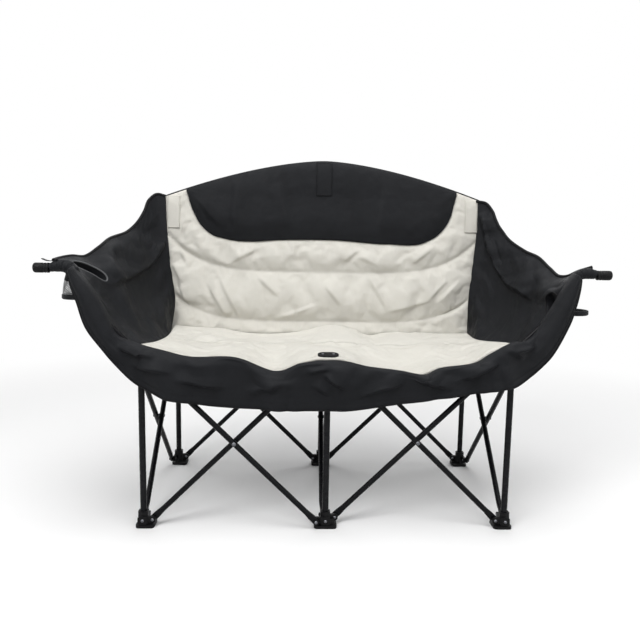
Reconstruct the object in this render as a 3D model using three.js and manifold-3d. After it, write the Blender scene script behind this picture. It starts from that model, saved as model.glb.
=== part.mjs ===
// Folding camping loveseat: a scissor-braced tube frame that carries a padded sling seat.
// Millimetres, +Z up. The origin is on the floor, under the middle of the object.

import * as THREE from 'three';
import { mergeVertices } from 'three/addons/utils/BufferGeometryUtils.js';
import loadManifold from 'manifold-3d';

const wasm = await loadManifold();
wasm.setup();

// Frame layout, with y counted from the front legs
const bay = 460; // from leg to leg, both across and front to back
const frontLegsY = -218; // place of the front legs in the object's frame
const pivotReach = 24; // from a leg's axis to the brace pivots beside it
const footPivotZ = 20;
const collarPivotZ = 424;

// Tubes
const legRadius = 9;
const legWall = 1.3;
const frontLegTopZ = 380;
const legSlide = 0.5; // clearance of an inner leg in its outer leg
const innerLegBottomZ = 150;
const sidePostTopZ = 850;
const centerPostTopZ = 955;
const braceRadius = 7;
const braceGap = 2; // between two braces that cross, and between a brace and a leg
const braceEndHalf = 4.5; // half of a flattened end's thickness
const braceEndWidth = 8.5; // half of a flattened end's width
const braceEndLength = 16;
const braceEndTip = [[-1, 0.35], [-0.7, 0.75], [0, 1]]; // in end widths: distance from the pin, and width
const braceTaper = 18;

// Arm tubes and handles
const armStraight = 772; // straight run of an arm tube, from its foot pivot
const bendRun = 64.8; // from the straight run's end out to the handle
const bendRise = 89.5;
const handleLength = 52;
const armBendPull = 60;
const handleBendPull = 45;
const capRadius = 12;
const capLength = 38;
const capTipWall = 11;
const capBevel = 2;
const sleeveWall = 2.1;
const sleeveReach = 22; // how far a sleeve runs along the handle

// Mouldings and rivets
const runningGap = 0.4;
const cutReach = 1; // how far a cut runs past the face that it opens
const pinRadius = 3;
const headRadius = 5.5;
const headThickness = 2.5;
const headCrown = 0.6; // a domed head's flat top, as a share of its radius
const headEdge = 1; // height of a domed head's straight edge
const lugThickness = 7.5;
const lugRadius = 8.5;
const footHeight = 41;
const footFloor = 7;
const footBaseHeight = 7;
const socketRadius = 14;
const baseShort = 18; // from the leg's axis to the base's plain edge
const baseLong = 29; // from the leg's axis to the base's edge under a lug
const baseCorner = 9;
const collarRadius = 12.4;
const collarDrop = 24; // from the pivots to the collar's lower end
const collarTop = lugRadius; // from the pivots to the collar's upper end
const collarLid = 3;

// Seat
const seatSideGap = 32; // from the corner legs' axes in to the seat's front corners
const seatRearSpread = 22; // how much wider the seat is at each side of its rear edge
const seatLipY = -16;
const seatFrontLength = 200; // from the lip to the fold
const seatRearGap = 77; // from the rear posts' axes forward to the seat's rear edge
const seatThickness = 24;
const seatEdgeThickness = 10;
const seatRearRise = 8;
const seatSideLift = 24;
const seatSidePower = 4;
const seatSideFade = 0.8; // share of the side's lift that is gone at the rear
const seatDip = 34; // depth of each sitting place at the lip
const seatDipFade = 0.72; // share of that depth that is gone at the rear
const seatDipStart = 36; // the seat is level over the hub, within this half-width
const seatDipEnd = 376; // half-width at which the sitting places end
const seatHubPadX = 80; // the pad thins out over the hub, within this half-width
const seatHubPadY = 106;
const seatHubThickness = 7;
const plateHalfWidth = 26;
const plateHalfDepth = 12;
const plateThickness = 3;
const plateScrewTop = 4.2;
const plateScrewPitch = 24;
const plateScrewRadius = 3;

// Back
const backBottomZ = 430;
const backSideTopZ = 852;
const backCenterTopZ = 964;
const backTopPower = 1.6;
const backBottomSpread = 4; // from the seat's rear corners out to the back's lower corners
const backTopSpread = 28; // from the corner posts' axes out to the back's upper corners
const backLean = 41;
const backThickness = 28;
const backSeamThickness = 13;
const backEdgeThickness = 10;
const backEdgeStart = 0.9; // share of the half-width at which the padding begins to thin out
const backRollThickness = 25.2;
const backLowThickness = 26;
const lowerSeamZ = 476;
const lowerSeamRise = 62;
const upperSeamZ = 628;
const upperSeamRise = 92;
const headrestSeamZ = 723;
const headrestSeamRise = 150;
const seamPower = 6;
const seamEdgeGap = 24;
const pocketDepth = 96;
const pocketHalfWidth = 14;
const pocketWall = 2.5;

// Wings, with each curve's points as distance beyond the legs, height and, on the top edge, depth
const wingThickness = 5;
const wingFrontClearance = 12; // from an arm tube's axis back to the wing's front edge
const wingCornerZ = 462;
const wingRearZ = 452;
const wingSeatGap = 1.2;
const wingSeam = 0.52; // share of the way from the back to the arm
const wingSag = 14;
const wingFold = 5;
const wingFolds = 3;
const wingFoldSlant = 0.4;
const wingFrontShape = [[22, 478], [62, 525], [96, 590], [132, 640], [188, 662]];
const wingTopShape = [[87, 789, 330], [130, 722, 210], [164, 680, 105]];

// Cup holders, in shares of the wing front's own grid
const cupAlong = 0.83;
const cupAcross = 0.825;
const cupAlongHalf = 0.098;
const cupAcrossHalf = 0.145;
const cupBottomZ = 572;
const cupSpread = 164; // from the legs' axes out to the middle of the cup holder's floor
const cupBottomRadius = 42;
const cupWall = 2.2;
const cupRim = 3;
const cupCutReach = 40;

// Apron, with its half outlines as outward distance and height
const apronThickness = 4;
const apronCurlEnd = 430;
const apronCurlStart = 380;
const apronFold = 5;
const apronFolds = 5;
const apronFoldFade = 0.6; // share of the half-width at which the folds begin to fade
const apronFoldEnd = 0.8;
const apronCurlPower = 4;
const apronArmStart = 490;
const apronArmEnd = 560;
const apronTopShape = [
  [0, 436], [80, 428], [185, 405], [300, 432], [400, 456],
  [455, 472], [505, 486], [542, 548], [572, 606], [600, 640],
];
const apronBottomShape = [
  [0, 312], [95, 314], [190, 320], [305, 338], [405, 358],
  [468, 381], [542, 457], [572, 508], [590, 565], [611, 628],
];

// Fineness of round pieces
const tubeSides = 8;
const legSides = 12;
const pinSides = 6;
const headSides = 8;
const cupSides = 12;
const bendSteps = 6;
const sleeveSteps = 4;
const cornerSteps = 2;
const plateSteps = 10;

// Rows and columns of the soft pieces
const seatRows = 6;
const seatColumns = 20;
const backColumns = 20;
const wingRows = 8;
const wingColumns = 6;
const apronRows = 4;
const apronColumns = 36;

// Worked out from the values above
const braceSpan = bay - 2 * pivotReach;
const braceRise = collarPivotZ - footPivotZ;
const braceLength = Math.hypot(braceSpan, braceRise);
const braceAngle = Math.atan2(braceRise, braceSpan);
const bracePitch = 2 * braceRadius + braceGap;
const clearOfLeg = legRadius + braceRadius + braceGap;
const innerLegRadius = legRadius - legWall - legSlide;
const handleStartX = pivotReach + armStraight * Math.cos(braceAngle) + bendRun;
const handleEndX = handleStartX + handleLength;
const handleZ = footPivotZ + armStraight * Math.sin(braceAngle) + bendRise;
const sleeveEndX = handleStartX + sleeveReach;
const seatFoldY = seatLipY + seatFrontLength;
const seatRearY = bay - seatRearGap;
const collarTopZ = collarPivotZ + collarTop;
const seatHalfWidth = bay - seatSideGap;
const backBottomHalf = seatHalfWidth + seatRearSpread + backBottomSpread;
const backTopHalf = bay + backTopSpread;
const cupBottomX = bay + cupSpread;
const seatHubZ = collarTopZ + runningGap + seatHubThickness;
const backPostFace = bay - legRadius - runningGap;
const rivetReach = clearOfLeg + braceRadius + runningGap + headThickness; // to a front rivet's outer face
const apronPlane = -(rivetReach + apronThickness / 2 + braceGap);
const wingSeamHalf = runningGap / bay; // half of the gap at a wing's seam, as a share of its length

const looks = {
  tube: { color: 0x1d1e20, roughness: 0.38, metalness: 0.55 },
  moulding: { color: 0x17181a, roughness: 0.55, metalness: 0 },
  steel: { color: 0xc2c5c8, roughness: 0.3, metalness: 1 },
  blackCloth: { color: 0x2b2c2f, roughness: 0.85, metalness: 0 },
  paleCloth: { color: 0xd5d1c7, roughness: 0.9, metalness: 0 },
  mesh: { color: 0xb7babf, roughness: 0.8, metalness: 0 },
};

// Solids

function signedVolume(points, faces) {
  let sum = 0;
  const a = new THREE.Vector3();
  const b = new THREE.Vector3();
  const c = new THREE.Vector3();
  for (let i = 0; i < faces.length; i += 3) {
    a.fromArray(points, 3 * faces[i]);
    b.fromArray(points, 3 * faces[i + 1]);
    c.fromArray(points, 3 * faces[i + 2]);
    sum += a.dot(b.cross(c));
  }
  return sum / 6;
}

// A welded copy with its faces turned outwards and its flat triangles dropped
function weld(geometry) {
  const bare = geometry.clone();
  for (const name of ['normal', 'uv']) {
    if (bare.hasAttribute(name)) bare.deleteAttribute(name);
  }
  const merged = mergeVertices(bare, 1e-4);
  const points = merged.attributes.position.array;
  const faces = [];
  for (let i = 0; i < merged.index.count; i += 3) {
    const [a, b, c] = [0, 1, 2].map((k) => merged.index.getX(i + k));
    if (a !== b && b !== c && c !== a) faces.push(a, b, c);
  }
  if (signedVolume(points, faces) < 0) faces.reverse();
  return makeGeometry(points, faces);
}

function makeGeometry(points, faces) {
  const geometry = new THREE.BufferGeometry();
  geometry.setAttribute('position', new THREE.BufferAttribute(new Float32Array(points), 3));
  geometry.setIndex(new THREE.BufferAttribute(new Uint32Array(faces), 1));
  return geometry;
}

function toSolid(geometry) {
  const welded = weld(geometry);
  return new wasm.Manifold(new wasm.Mesh({
    numProp: 3,
    vertProperties: welded.attributes.position.array,
    triVerts: welded.index.array,
  }));
}

function fromSolid(solid) {
  const mesh = solid.getMesh();
  return makeGeometry(mesh.vertProperties, mesh.triVerts);
}

function join(...pieces) {
  return pieces.map(toSolid).reduce((whole, piece) => whole.add(piece));
}

function cut(solid, ...tools) {
  return tools.map(toSolid).reduce((rest, tool) => rest.subtract(tool), solid);
}

// A turned solid about Z, from a profile of radius and height
function turned(profile, sides) {
  const points = profile.map(([radius, height]) => new THREE.Vector2(radius, height));
  return new THREE.LatheGeometry(points, sides).rotateX(Math.PI / 2);
}

function rod(radius, bottom, top, sides) {
  return turned([[0, bottom], [radius, bottom], [radius, top], [0, top]], sides);
}

function pipe(inside, outside, bottom, top, sides) {
  const profile = [[inside, bottom], [outside, bottom], [outside, top], [inside, top], [inside, bottom]];
  return turned(profile, sides);
}

// Walls between rings of points, closed by a fan at each end
function loft(rings) {
  const sides = rings[0].length;
  const points = rings.flat().flatMap((p) => p.toArray());
  const faces = [];
  for (let r = 0; r + 1 < rings.length; r += 1) {
    for (let s = 0; s < sides; s += 1) {
      const next = (s + 1) % sides;
      const [a, b] = [r * sides + s, r * sides + next];
      faces.push(a, b, b + sides, a, b + sides, a + sides);
    }
  }
  const last = (rings.length - 1) * sides;
  for (let s = 1; s + 1 < sides; s += 1) {
    faces.push(0, s + 1, s, last, last + s, last + s + 1);
  }
  return weld(makeGeometry(points, faces));
}

// A closed solid between two grids of points of one size
function between(upper, lower) {
  const rows = upper.length;
  const columns = upper[0].length;
  const count = rows * columns;
  const points = [...upper.flat(), ...lower.flat()].flatMap((p) => p.toArray());
  const at = (i, j) => i * columns + j;
  const faces = [];
  const quad = (a, b, c, d) => faces.push(a, b, c, a, c, d);
  for (let i = 0; i + 1 < rows; i += 1) {
    for (let j = 0; j + 1 < columns; j += 1) {
      quad(at(i, j), at(i, j + 1), at(i + 1, j + 1), at(i + 1, j));
      quad(count + at(i, j), count + at(i + 1, j), count + at(i + 1, j + 1), count + at(i, j + 1));
    }
  }
  const rim = [];
  for (let j = 0; j + 1 < columns; j += 1) rim.push(at(0, j));
  for (let i = 0; i + 1 < rows; i += 1) rim.push(at(i, columns - 1));
  for (let j = columns - 1; j > 0; j -= 1) rim.push(at(rows - 1, j));
  for (let i = rows - 1; i > 0; i -= 1) rim.push(at(i, 0));
  rim.forEach((a, k) => {
    const b = rim[(k + 1) % rim.length];
    quad(a, a + count, b + count, b);
  });
  return weld(makeGeometry(points, faces));
}

function steps(count, from = 0, to = 1) {
  return Array.from({ length: count + 1 }, (_, i) => from + ((to - from) * i) / count);
}

function grid(rows, columns, point) {
  return rows.map((v) => columns.map((u) => point(u, v)));
}

function smooth(value, from, to) {
  return THREE.MathUtils.smoothstep(value, from, to);
}

// A sheet of even thickness about a surface
function sheet(rows, columns, surface, thickness) {
  const nudge = 1e-3;
  const offset = (share) => grid(rows, columns, (u, v) => {
    const along = surface(u + nudge, v).sub(surface(u - nudge, v));
    const across = surface(u, v + nudge).sub(surface(u, v - nudge));
    const normal = along.cross(across).normalize();
    return surface(u, v).addScaledVector(normal, share * thickness);
  });
  return between(offset(0.5), offset(-0.5));
}

// Mouldings: every brace pivot is a lug plate beside the brace, with a stud and head through it

const towards = { '+x': [0, 1], '-x': [Math.PI, -1], '+y': [Math.PI / 2, -1], '-y': [-Math.PI / 2, 1] };

// plane is the brace's place along its pin, side is where the plate lies, half is the brace's half thickness
function lug({ toward, plane, side, half }, pivotZ) {
  const [turn, sign] = towards[toward];
  const inner = half + runningGap;
  const outline = new THREE.Shape();
  outline.moveTo(0, -lugRadius);
  outline.lineTo(pivotReach, -lugRadius);
  outline.absarc(pivotReach, 0, lugRadius, -Math.PI / 2, Math.PI / 2, false);
  outline.lineTo(0, lugRadius);
  const plate = new THREE.ExtrudeGeometry(outline, {
    depth: lugThickness, bevelEnabled: false, curveSegments: pinSides,
  });
  plate.translate(0, 0, inner);
  const stud = rod(pinRadius, -inner - headThickness / 2, inner + lugThickness / 2, pinSides);
  const head = rod(headRadius, -inner - headThickness, -inner, headSides);
  for (const pin of [stud, head]) pin.translate(pivotReach, 0, 0);
  return [plate, stud, head].map((piece) => {
    if (side * sign < 0) piece.scale(1, 1, -1);
    piece.rotateX(Math.PI / 2).scale(1, -1, 1);
    return piece.translate(0, plane * sign, pivotZ).rotateZ(turn);
  });
}

function footBase(pivots) {
  const reach = (toward) => (pivots.some((p) => p.toward === toward) ? baseLong : baseShort);
  const [left, right, front, back] = [-reach('-x'), reach('+x'), -reach('-y'), reach('+y')];
  const outline = new THREE.Shape();
  outline.moveTo(left + baseCorner, front);
  outline.lineTo(right - baseCorner, front);
  outline.absarc(right - baseCorner, front + baseCorner, baseCorner, -Math.PI / 2, 0, false);
  outline.lineTo(right, back - baseCorner);
  outline.absarc(right - baseCorner, back - baseCorner, baseCorner, 0, Math.PI / 2, false);
  outline.lineTo(left + baseCorner, back);
  outline.absarc(left + baseCorner, back - baseCorner, baseCorner, Math.PI / 2, Math.PI, false);
  outline.lineTo(left, front + baseCorner);
  outline.absarc(left + baseCorner, front + baseCorner, baseCorner, Math.PI, 1.5 * Math.PI, false);
  return new THREE.ExtrudeGeometry(outline, {
    depth: footBaseHeight, bevelEnabled: false, curveSegments: cornerSteps,
  });
}

function foot(pivots) {
  const socket = rod(socketRadius, 0, footHeight, pinSides);
  const web = pivots.map(({ toward }) => {
    const block = new THREE.BoxGeometry(pivotReach, 2 * pinRadius, footPivotZ);
    return block.translate(pivotReach / 2, 0, footPivotZ / 2).rotateZ(towards[toward][0]);
  });
  const lugs = pivots.flatMap((pivot) => lug(pivot, footPivotZ));
  const bore = rod(legRadius + runningGap, footFloor, footHeight + cutReach, legSides);
  const braceRoom = pivots.map((pivot) => {
    const [turn, sign] = towards[pivot.toward];
    const width = 2 * (pivot.half + runningGap);
    const room = new THREE.BoxGeometry(2 * pivotReach, width, footHeight);
    const floor = footPivotZ - braceEndWidth - runningGap;
    room.translate(socketRadius + pivotReach, pivot.plane * sign, floor + footHeight / 2);
    return room.rotateZ(turn);
  });
  const body = cut(join(footBase(pivots), socket, ...web), ...braceRoom);
  const whole = lugs.map(toSolid).reduce((sum, piece) => sum.add(piece), body);
  return fromSolid(cut(whole, bore));
}

function collar(pivots, boreRadius, lid) {
  const bottom = collarPivotZ - collarDrop;
  const ring = rod(collarRadius, bottom, collarTopZ, legSides);
  const bore = rod(boreRadius, bottom - cutReach, lid ? collarTopZ - lid : collarTopZ + cutReach, legSides);
  const lugs = pivots.flatMap((pivot) => lug(pivot, collarPivotZ));
  return fromSolid(cut(join(ring, ...lugs), bore));
}

// Braces: a tube in its own XZ plane, its foot pivot at the origin and its pins along Y

function ringAt({ x, z, angle, half, width }) {
  return Array.from({ length: tubeSides }, (_, k) => {
    const turn = (2 * Math.PI * (k + 0.5)) / tubeSides;
    const side = width * Math.sin(turn);
    return new THREE.Vector3(x - side * Math.sin(angle), half * Math.cos(turn), z + side * Math.cos(angle));
  });
}

function onSlope(distance, half, width) {
  const x = distance * Math.cos(braceAngle);
  const z = distance * Math.sin(braceAngle);
  return { x, z, angle: braceAngle, half, width };
}

function flattenedEnd() {
  const tip = braceEndTip.map(([distance, share]) => (
    onSlope(distance * braceEndWidth, braceEndHalf, share * braceEndWidth)
  ));
  const inner = onSlope(braceEndLength, braceEndHalf, braceEndWidth);
  return [...tip, inner, onSlope(braceEndLength + braceTaper, braceRadius, braceRadius)];
}

function pinHole(distance) {
  const radius = (pinRadius + runningGap) / Math.cos(Math.PI / pinSides); // clear of the pin at every turn
  const hole = new THREE.CylinderGeometry(radius, radius, bay / 4, pinSides);
  const { x, z } = onSlope(distance, 0, 0);
  return hole.translate(x, 0, z);
}

function drilledBrace(stations) {
  const holes = [0, braceLength / 2, braceLength].map(pinHole);
  return fromSolid(cut(toSolid(loft(stations.map(ringAt))), ...holes));
}

function straightBrace() {
  const lower = flattenedEnd();
  const upper = lower.map(({ x, z, ...rest }) => ({ x: braceSpan - x, z: braceRise - z, ...rest })).reverse();
  return drilledBrace([...lower, ...upper]);
}

// The bend that leads from an arm tube's slope to its handle, as outward distance and height
function armBend() {
  const start = onSlope(armStraight, 0, 0);
  const pulled = onSlope(armStraight + armBendPull, 0, 0);
  const [handleX, handleHeight] = [handleStartX - pivotReach, handleZ - footPivotZ];
  return new THREE.CubicBezierCurve(
    new THREE.Vector2(start.x, start.z),
    new THREE.Vector2(pulled.x, pulled.z),
    new THREE.Vector2(handleX - handleBendPull, handleHeight),
    new THREE.Vector2(handleX, handleHeight),
  );
}

function bendStations(count, from, radius) {
  const curve = armBend();
  return steps(count, from).map((t) => {
    const point = curve.getPoint(t);
    const tangent = curve.getTangent(t);
    const angle = Math.atan2(tangent.y, tangent.x);
    return { x: point.x, z: point.y, angle, half: radius, width: radius };
  });
}

function armTube() {
  const handleEnd = {
    x: handleEndX - pivotReach, z: handleZ - footPivotZ, angle: 0, half: braceRadius, width: braceRadius,
  };
  return drilledBrace([...flattenedEnd(), ...bendStations(bendSteps, 0, braceRadius), handleEnd]);
}

function armSleeve() {
  const along = (radius) => {
    const stations = bendStations(sleeveSteps, 1 - sleeveSteps / bendSteps, radius);
    const last = { ...stations.at(-1), x: sleeveEndX - pivotReach - runningGap };
    return [...stations, last].map(ringAt);
  };
  const inside = along(braceRadius + runningGap);
  const outside = along(braceRadius + runningGap + sleeveWall);
  const rows = [...outside, ...inside.reverse()];
  const closed = [...rows, rows[0]].map((ring) => [...ring, ring[0]]);
  return weld(gridSkin(closed));
}

// The skin over a grid of points that closes on itself both ways
function gridSkin(rows) {
  const columns = rows[0].length;
  const faces = [];
  for (let i = 0; i + 1 < rows.length; i += 1) {
    for (let j = 0; j + 1 < columns; j += 1) {
      const a = i * columns + j;
      faces.push(a, a + 1, a + columns + 1, a, a + columns + 1, a + columns);
    }
  }
  return makeGeometry(rows.flat().flatMap((p) => p.toArray()), faces);
}

function handleCap() {
  const tip = capLength - capTipWall;
  const inside = braceRadius + runningGap;
  const edge = capRadius - capBevel;
  const profile = [
    [0, tip], [inside, tip], [inside, 0], [edge, 0], [capRadius, capBevel],
    [capRadius, capLength - capBevel], [edge, capLength], [0, capLength],
  ];
  return turned(profile, legSides).rotateY(Math.PI / 2);
}

// A rivet through two crossing braces, along Z from the lower brace's plane to the upper one's
function crossingRivet(lower, upper) {
  const reach = braceRadius + runningGap;
  const marks = [lower - reach, lower + reach, upper - reach, upper + reach];
  const [bottom, top] = [marks[0] - headThickness, marks[3] + headThickness];
  const crown = headCrown * headRadius;
  const profile = [
    [0, bottom], [crown, bottom], [headRadius, marks[0] - headEdge],
    [headRadius, marks[0]], [pinRadius, marks[0]], [pinRadius, marks[1]], [headRadius, marks[1]],
    [headRadius, marks[2]], [pinRadius, marks[2]], [pinRadius, marks[3]], [headRadius, marks[3]],
    [headRadius, marks[3] + headEdge], [crown, top], [0, top],
  ];
  return turned(profile, pinSides);
}

// Seat

function seatHalfAt(y) {
  return seatHalfWidth + (seatRearSpread * (y - seatLipY)) / (seatRearY - seatLipY);
}

function seatTop(x, y) {
  const along = (y - seatLipY) / (seatRearY - seatLipY);
  const across = Math.abs(x) / seatHalfAt(y);
  const place = (Math.abs(x) - seatDipStart) / (seatDipEnd - seatDipStart);
  const wave = Math.sin(Math.PI * THREE.MathUtils.clamp(place, 0, 1));
  const lift = seatSideLift * across ** seatSidePower * (1 - seatSideFade * along);
  const dip = seatDip * wave * wave * (1 - seatDipFade * along);
  return seatHubZ + seatRearRise * along + lift - dip;
}

function seatThicknessAt(x, y) {
  const rim = Math.min(seatHalfAt(y) - Math.abs(x), y - seatLipY, seatRearY - y);
  const full = seatEdgeThickness + (seatThickness - seatEdgeThickness) * smooth(rim, 0, 2 * seatThickness);
  const clearX = smooth(Math.abs(x), seatHubPadX / 2, seatHubPadX);
  const clearY = smooth(y, seatHubPadY / 2, seatHubPadY);
  return seatHubThickness + (full - seatHubThickness) * Math.max(clearX, clearY);
}

function seatLeaf(from, to) {
  const rows = steps(seatRows, from, to);
  const columns = steps(seatColumns, -1, 1);
  const top = grid(rows, columns, (share, y) => {
    const x = share * seatHalfAt(y);
    return new THREE.Vector3(x, y, seatTop(x, y));
  });
  const below = ({ x, y, z }) => new THREE.Vector3(x, y, z - seatThicknessAt(x, y));
  const under = top.map((row) => row.map(below));
  return between(top, under);
}

function clampPlate() {
  const outline = new THREE.Shape();
  outline.absellipse(0, 0, plateHalfWidth, plateHalfDepth, 0, 2 * Math.PI, false);
  const plate = new THREE.ExtrudeGeometry(outline, {
    depth: plateThickness, bevelEnabled: false, curveSegments: plateSteps,
  });
  const screws = [-1, 1].map((side) => {
    const head = rod(plateScrewRadius, plateThickness / 2, plateScrewTop, pinSides);
    return head.translate((side * plateScrewPitch) / 2, 0, 0);
  });
  return fromSolid(join(plate, ...screws));
}

// Back

function backHalf(z) {
  const share = (z - backBottomZ) / (backSideTopZ - backBottomZ);
  return backBottomHalf + (backTopHalf - backBottomHalf) * Math.min(1, share);
}

function backTop(x) {
  const across = Math.min(1, Math.abs(x) / backTopHalf);
  return backCenterTopZ - (backCenterTopZ - backSideTopZ) * across ** backTopPower;
}

function backRear(z) {
  const share = (z - backBottomZ) / (backSideTopZ - backBottomZ);
  return backPostFace - backLean * (1 - Math.min(1, share));
}

function backPanel() {
  const seams = [
    [lowerSeamZ, lowerSeamRise], [upperSeamZ, upperSeamRise], [headrestSeamZ, headrestSeamRise],
  ];
  const full = backThickness;
  const seam = backSeamThickness;
  const roll = backRollThickness;
  // Each row is a place between two of the lines bottom, seam, seam, seam and top, and its thickness
  const rows = [
    [0, 0, backLowThickness], [0, 0.55, backLowThickness],
    [1, 0, seam], [1, 0.22, roll], [1, 0.5, full], [1, 0.78, roll],
    [2, 0, seam], [2, 0.3, roll], [2, 0.7, roll],
    [3, 0, seam], [3, 0.3, roll], [3, 0.75, roll],
    [4, 0, backEdgeThickness],
  ];
  const spot = (across, [line, share]) => {
    const top = backTop(across * backTopHalf);
    const crossed = seams.map(([z, rise], k) => {
      const limit = top - seamEdgeGap * (seams.length - k);
      return Math.min(z + rise * Math.abs(across) ** seamPower, limit);
    });
    const lines = [backBottomZ, ...crossed, top];
    const z = lines[line] + share * ((lines[line + 1] ?? top) - lines[line]);
    return new THREE.Vector3(across * backHalf(z), backRear(z), z);
  };
  const columns = steps(backColumns, -1, 1);
  const rear = grid(rows, columns, (across, row) => spot(across, row));
  const front = grid(rows, columns, (across, row) => {
    const inner = 1 - smooth(Math.abs(across), backEdgeStart, 1);
    const point = spot(across, row);
    point.y -= backEdgeThickness + (row[2] - backEdgeThickness) * inner;
    return point;
  });
  return between(front, rear);
}

// A pocket of cloth over a post's top, open below
function polePocket(postTopZ) {
  const inner = legRadius + runningGap;
  const top = postTopZ + runningGap + pocketWall;
  const depth = inner + pocketWall;
  const shell = new THREE.BoxGeometry(2 * pocketHalfWidth, inner + depth - runningGap, pocketDepth);
  shell.translate(0, (depth - inner + runningGap) / 2 + runningGap, top - pocketDepth / 2);
  const bore = rod(inner, top - pocketDepth - cutReach, postTopZ + runningGap, legSides);
  return fromSolid(cut(toSolid(shell), bore));
}

// Wings: a patch between the seat's side, the back's side, the arm tube and a free top edge

function wingSurface(armPlane) {
  const frontY = armPlane + wingFrontClearance;
  const corner = new THREE.Vector3(seatHalfAt(frontY) + wingSeatGap, frontY, wingCornerZ);
  const frontPoints = wingFrontShape.map(([x, z]) => new THREE.Vector3(bay + x, frontY, z));
  const front = new THREE.CatmullRomCurve3([corner, ...frontPoints]);
  const rear = (v) => {
    const z = wingRearZ + (backSideTopZ - wingRearZ) * v;
    const x = backHalf(z) + runningGap + wingThickness / 2;
    return new THREE.Vector3(x, backRear(z) - backEdgeThickness / 2, z);
  };
  const topPoints = wingTopShape.map(([x, z, y]) => new THREE.Vector3(bay + x, y, z));
  const top = new THREE.CatmullRomCurve3([rear(1), ...topPoints, frontPoints.at(-1)]);
  const bottom = new THREE.LineCurve3(rear(0), corner);
  return (u, v) => {
    const inside = [THREE.MathUtils.clamp(u, 0, 1), THREE.MathUtils.clamp(v, 0, 1)];
    const [s, t] = inside;
    const point = new THREE.Vector3();
    point.addScaledVector(rear(v), 1 - u).addScaledVector(front.getPoint(t), u);
    point.addScaledVector(bottom.getPoint(s), 1 - v).addScaledVector(top.getPoint(s), v);
    point.addScaledVector(rear(0), -(1 - u) * (1 - v)).addScaledVector(corner, -u * (1 - v));
    point.addScaledVector(rear(1), -(1 - u) * v).addScaledVector(frontPoints.at(-1), -u * v);
    const belly = Math.sin(Math.PI * s) * Math.sin(Math.PI * t);
    const folds = Math.sin(2 * Math.PI * wingFolds * (s + wingFoldSlant * t));
    point.x += belly * (wingSag + wingFold * folds);
    return point;
  };
}

function wingPanel(armPlane, from, to) {
  return sheet(steps(wingRows), steps(wingColumns, from, to), wingSurface(armPlane), wingThickness);
}

// The ring around a cup holder's opening, drawn out by a spread and lifted
function cupRing(armPlane, spread, lift) {
  const surface = wingSurface(armPlane);
  const center = surface(cupAlong, cupAcross);
  return Array.from({ length: cupSides }, (_, k) => {
    const turn = (2 * Math.PI * k) / cupSides;
    const along = cupAlong + cupAlongHalf * Math.cos(turn);
    const across = cupAcross + cupAcrossHalf * Math.sin(turn);
    const arm = surface(along, across).sub(center);
    const radius = arm.length();
    const point = arm.multiplyScalar((radius + spread) / radius).add(center);
    point.z += lift;
    return point;
  });
}

function wingFront(armPlane) {
  const panel = wingPanel(armPlane, wingSeam + wingSeamHalf, 1);
  const ends = [-cupCutReach, cupCutReach];
  const opening = loft(ends.map((lift) => cupRing(armPlane, runningGap, lift)));
  return fromSolid(cut(toSolid(panel), opening));
}

function wingRear(armPlane) {
  return wingPanel(armPlane, 0, wingSeam - wingSeamHalf);
}

// A hanging basket: its rim lies in the wing's opening and its round floor hangs outside the arm
function cupHolder(armPlane) {
  const middle = wingSurface(armPlane)(cupAlong, cupAcross);
  const floor = (shrink, z) => Array.from({ length: cupSides }, (_, k) => {
    const turn = (2 * Math.PI * k) / cupSides;
    const radius = cupBottomRadius - shrink;
    return new THREE.Vector3(cupBottomX + radius * Math.sin(turn), middle.y - radius * Math.cos(turn), z);
  });
  const outer = [cupRing(armPlane, 0, cupRim), cupRing(armPlane, 0, -2 * cupRim), floor(0, cupBottomZ)];
  const inner = [
    cupRing(armPlane, -cupWall, cupRim + cutReach), cupRing(armPlane, -cupWall, -2 * cupRim),
    floor(cupWall, cupBottomZ + cupWall),
  ];
  return fromSolid(toSolid(loft(outer)).subtract(toSolid(loft(inner))));
}

// Apron

function apronOutline(shape) {
  const curve = new THREE.SplineCurve(shape.map(([x, z]) => new THREE.Vector2(x, z)));
  return (s) => {
    const point = curve.getPoint(Math.min(1, Math.abs(s)));
    return new THREE.Vector2(Math.sign(s) * point.x, point.y);
  };
}

function apron() {
  const top = apronOutline(apronTopShape);
  const bottom = apronOutline(apronBottomShape);
  const touch = seatLipY - runningGap - apronThickness / 2;
  const rightArm = clearOfLeg - braceRadius - braceGap - apronThickness;
  const surface = (s, v) => {
    const point = top(s).lerp(bottom(s), v);
    const inner = 1 - smooth(Math.abs(point.x), apronCurlStart, apronCurlEnd);
    const curl = (1 - v) ** apronCurlPower * inner;
    const wave = 1 + Math.cos(2 * Math.PI * apronFolds * s);
    const fold = apronFold * v * wave * (1 - smooth(Math.abs(s), apronFoldFade, apronFoldEnd));
    const atArm = (rightArm - apronPlane) * smooth(point.x, apronArmStart, apronArmEnd);
    const y = apronPlane + (touch - apronPlane) * curl - fold + atArm;
    return new THREE.Vector3(point.x, y, point.y);
  };
  return sheet(steps(apronRows), steps(apronColumns, -1, 1), surface, apronThickness);
}

// Assembly

const loveseat = new THREE.Group();
loveseat.position.y = frontLegsY;

function add(parent, name, geometry, look) {
  const mesh = new THREE.Mesh(weld(geometry), new THREE.MeshStandardMaterial(looks[look]));
  mesh.name = name;
  parent.add(mesh);
  return mesh;
}

function station(x, y, turn = 0) {
  const group = new THREE.Group();
  group.position.set(x, y, 0);
  group.rotation.z = turn;
  loveseat.add(group);
  return group;
}

function addBrace(name, geometry, x, y, toward) {
  const place = station(x, y, towards[toward][0]);
  add(place, name, geometry, 'tube').position.z = footPivotZ;
}

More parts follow.
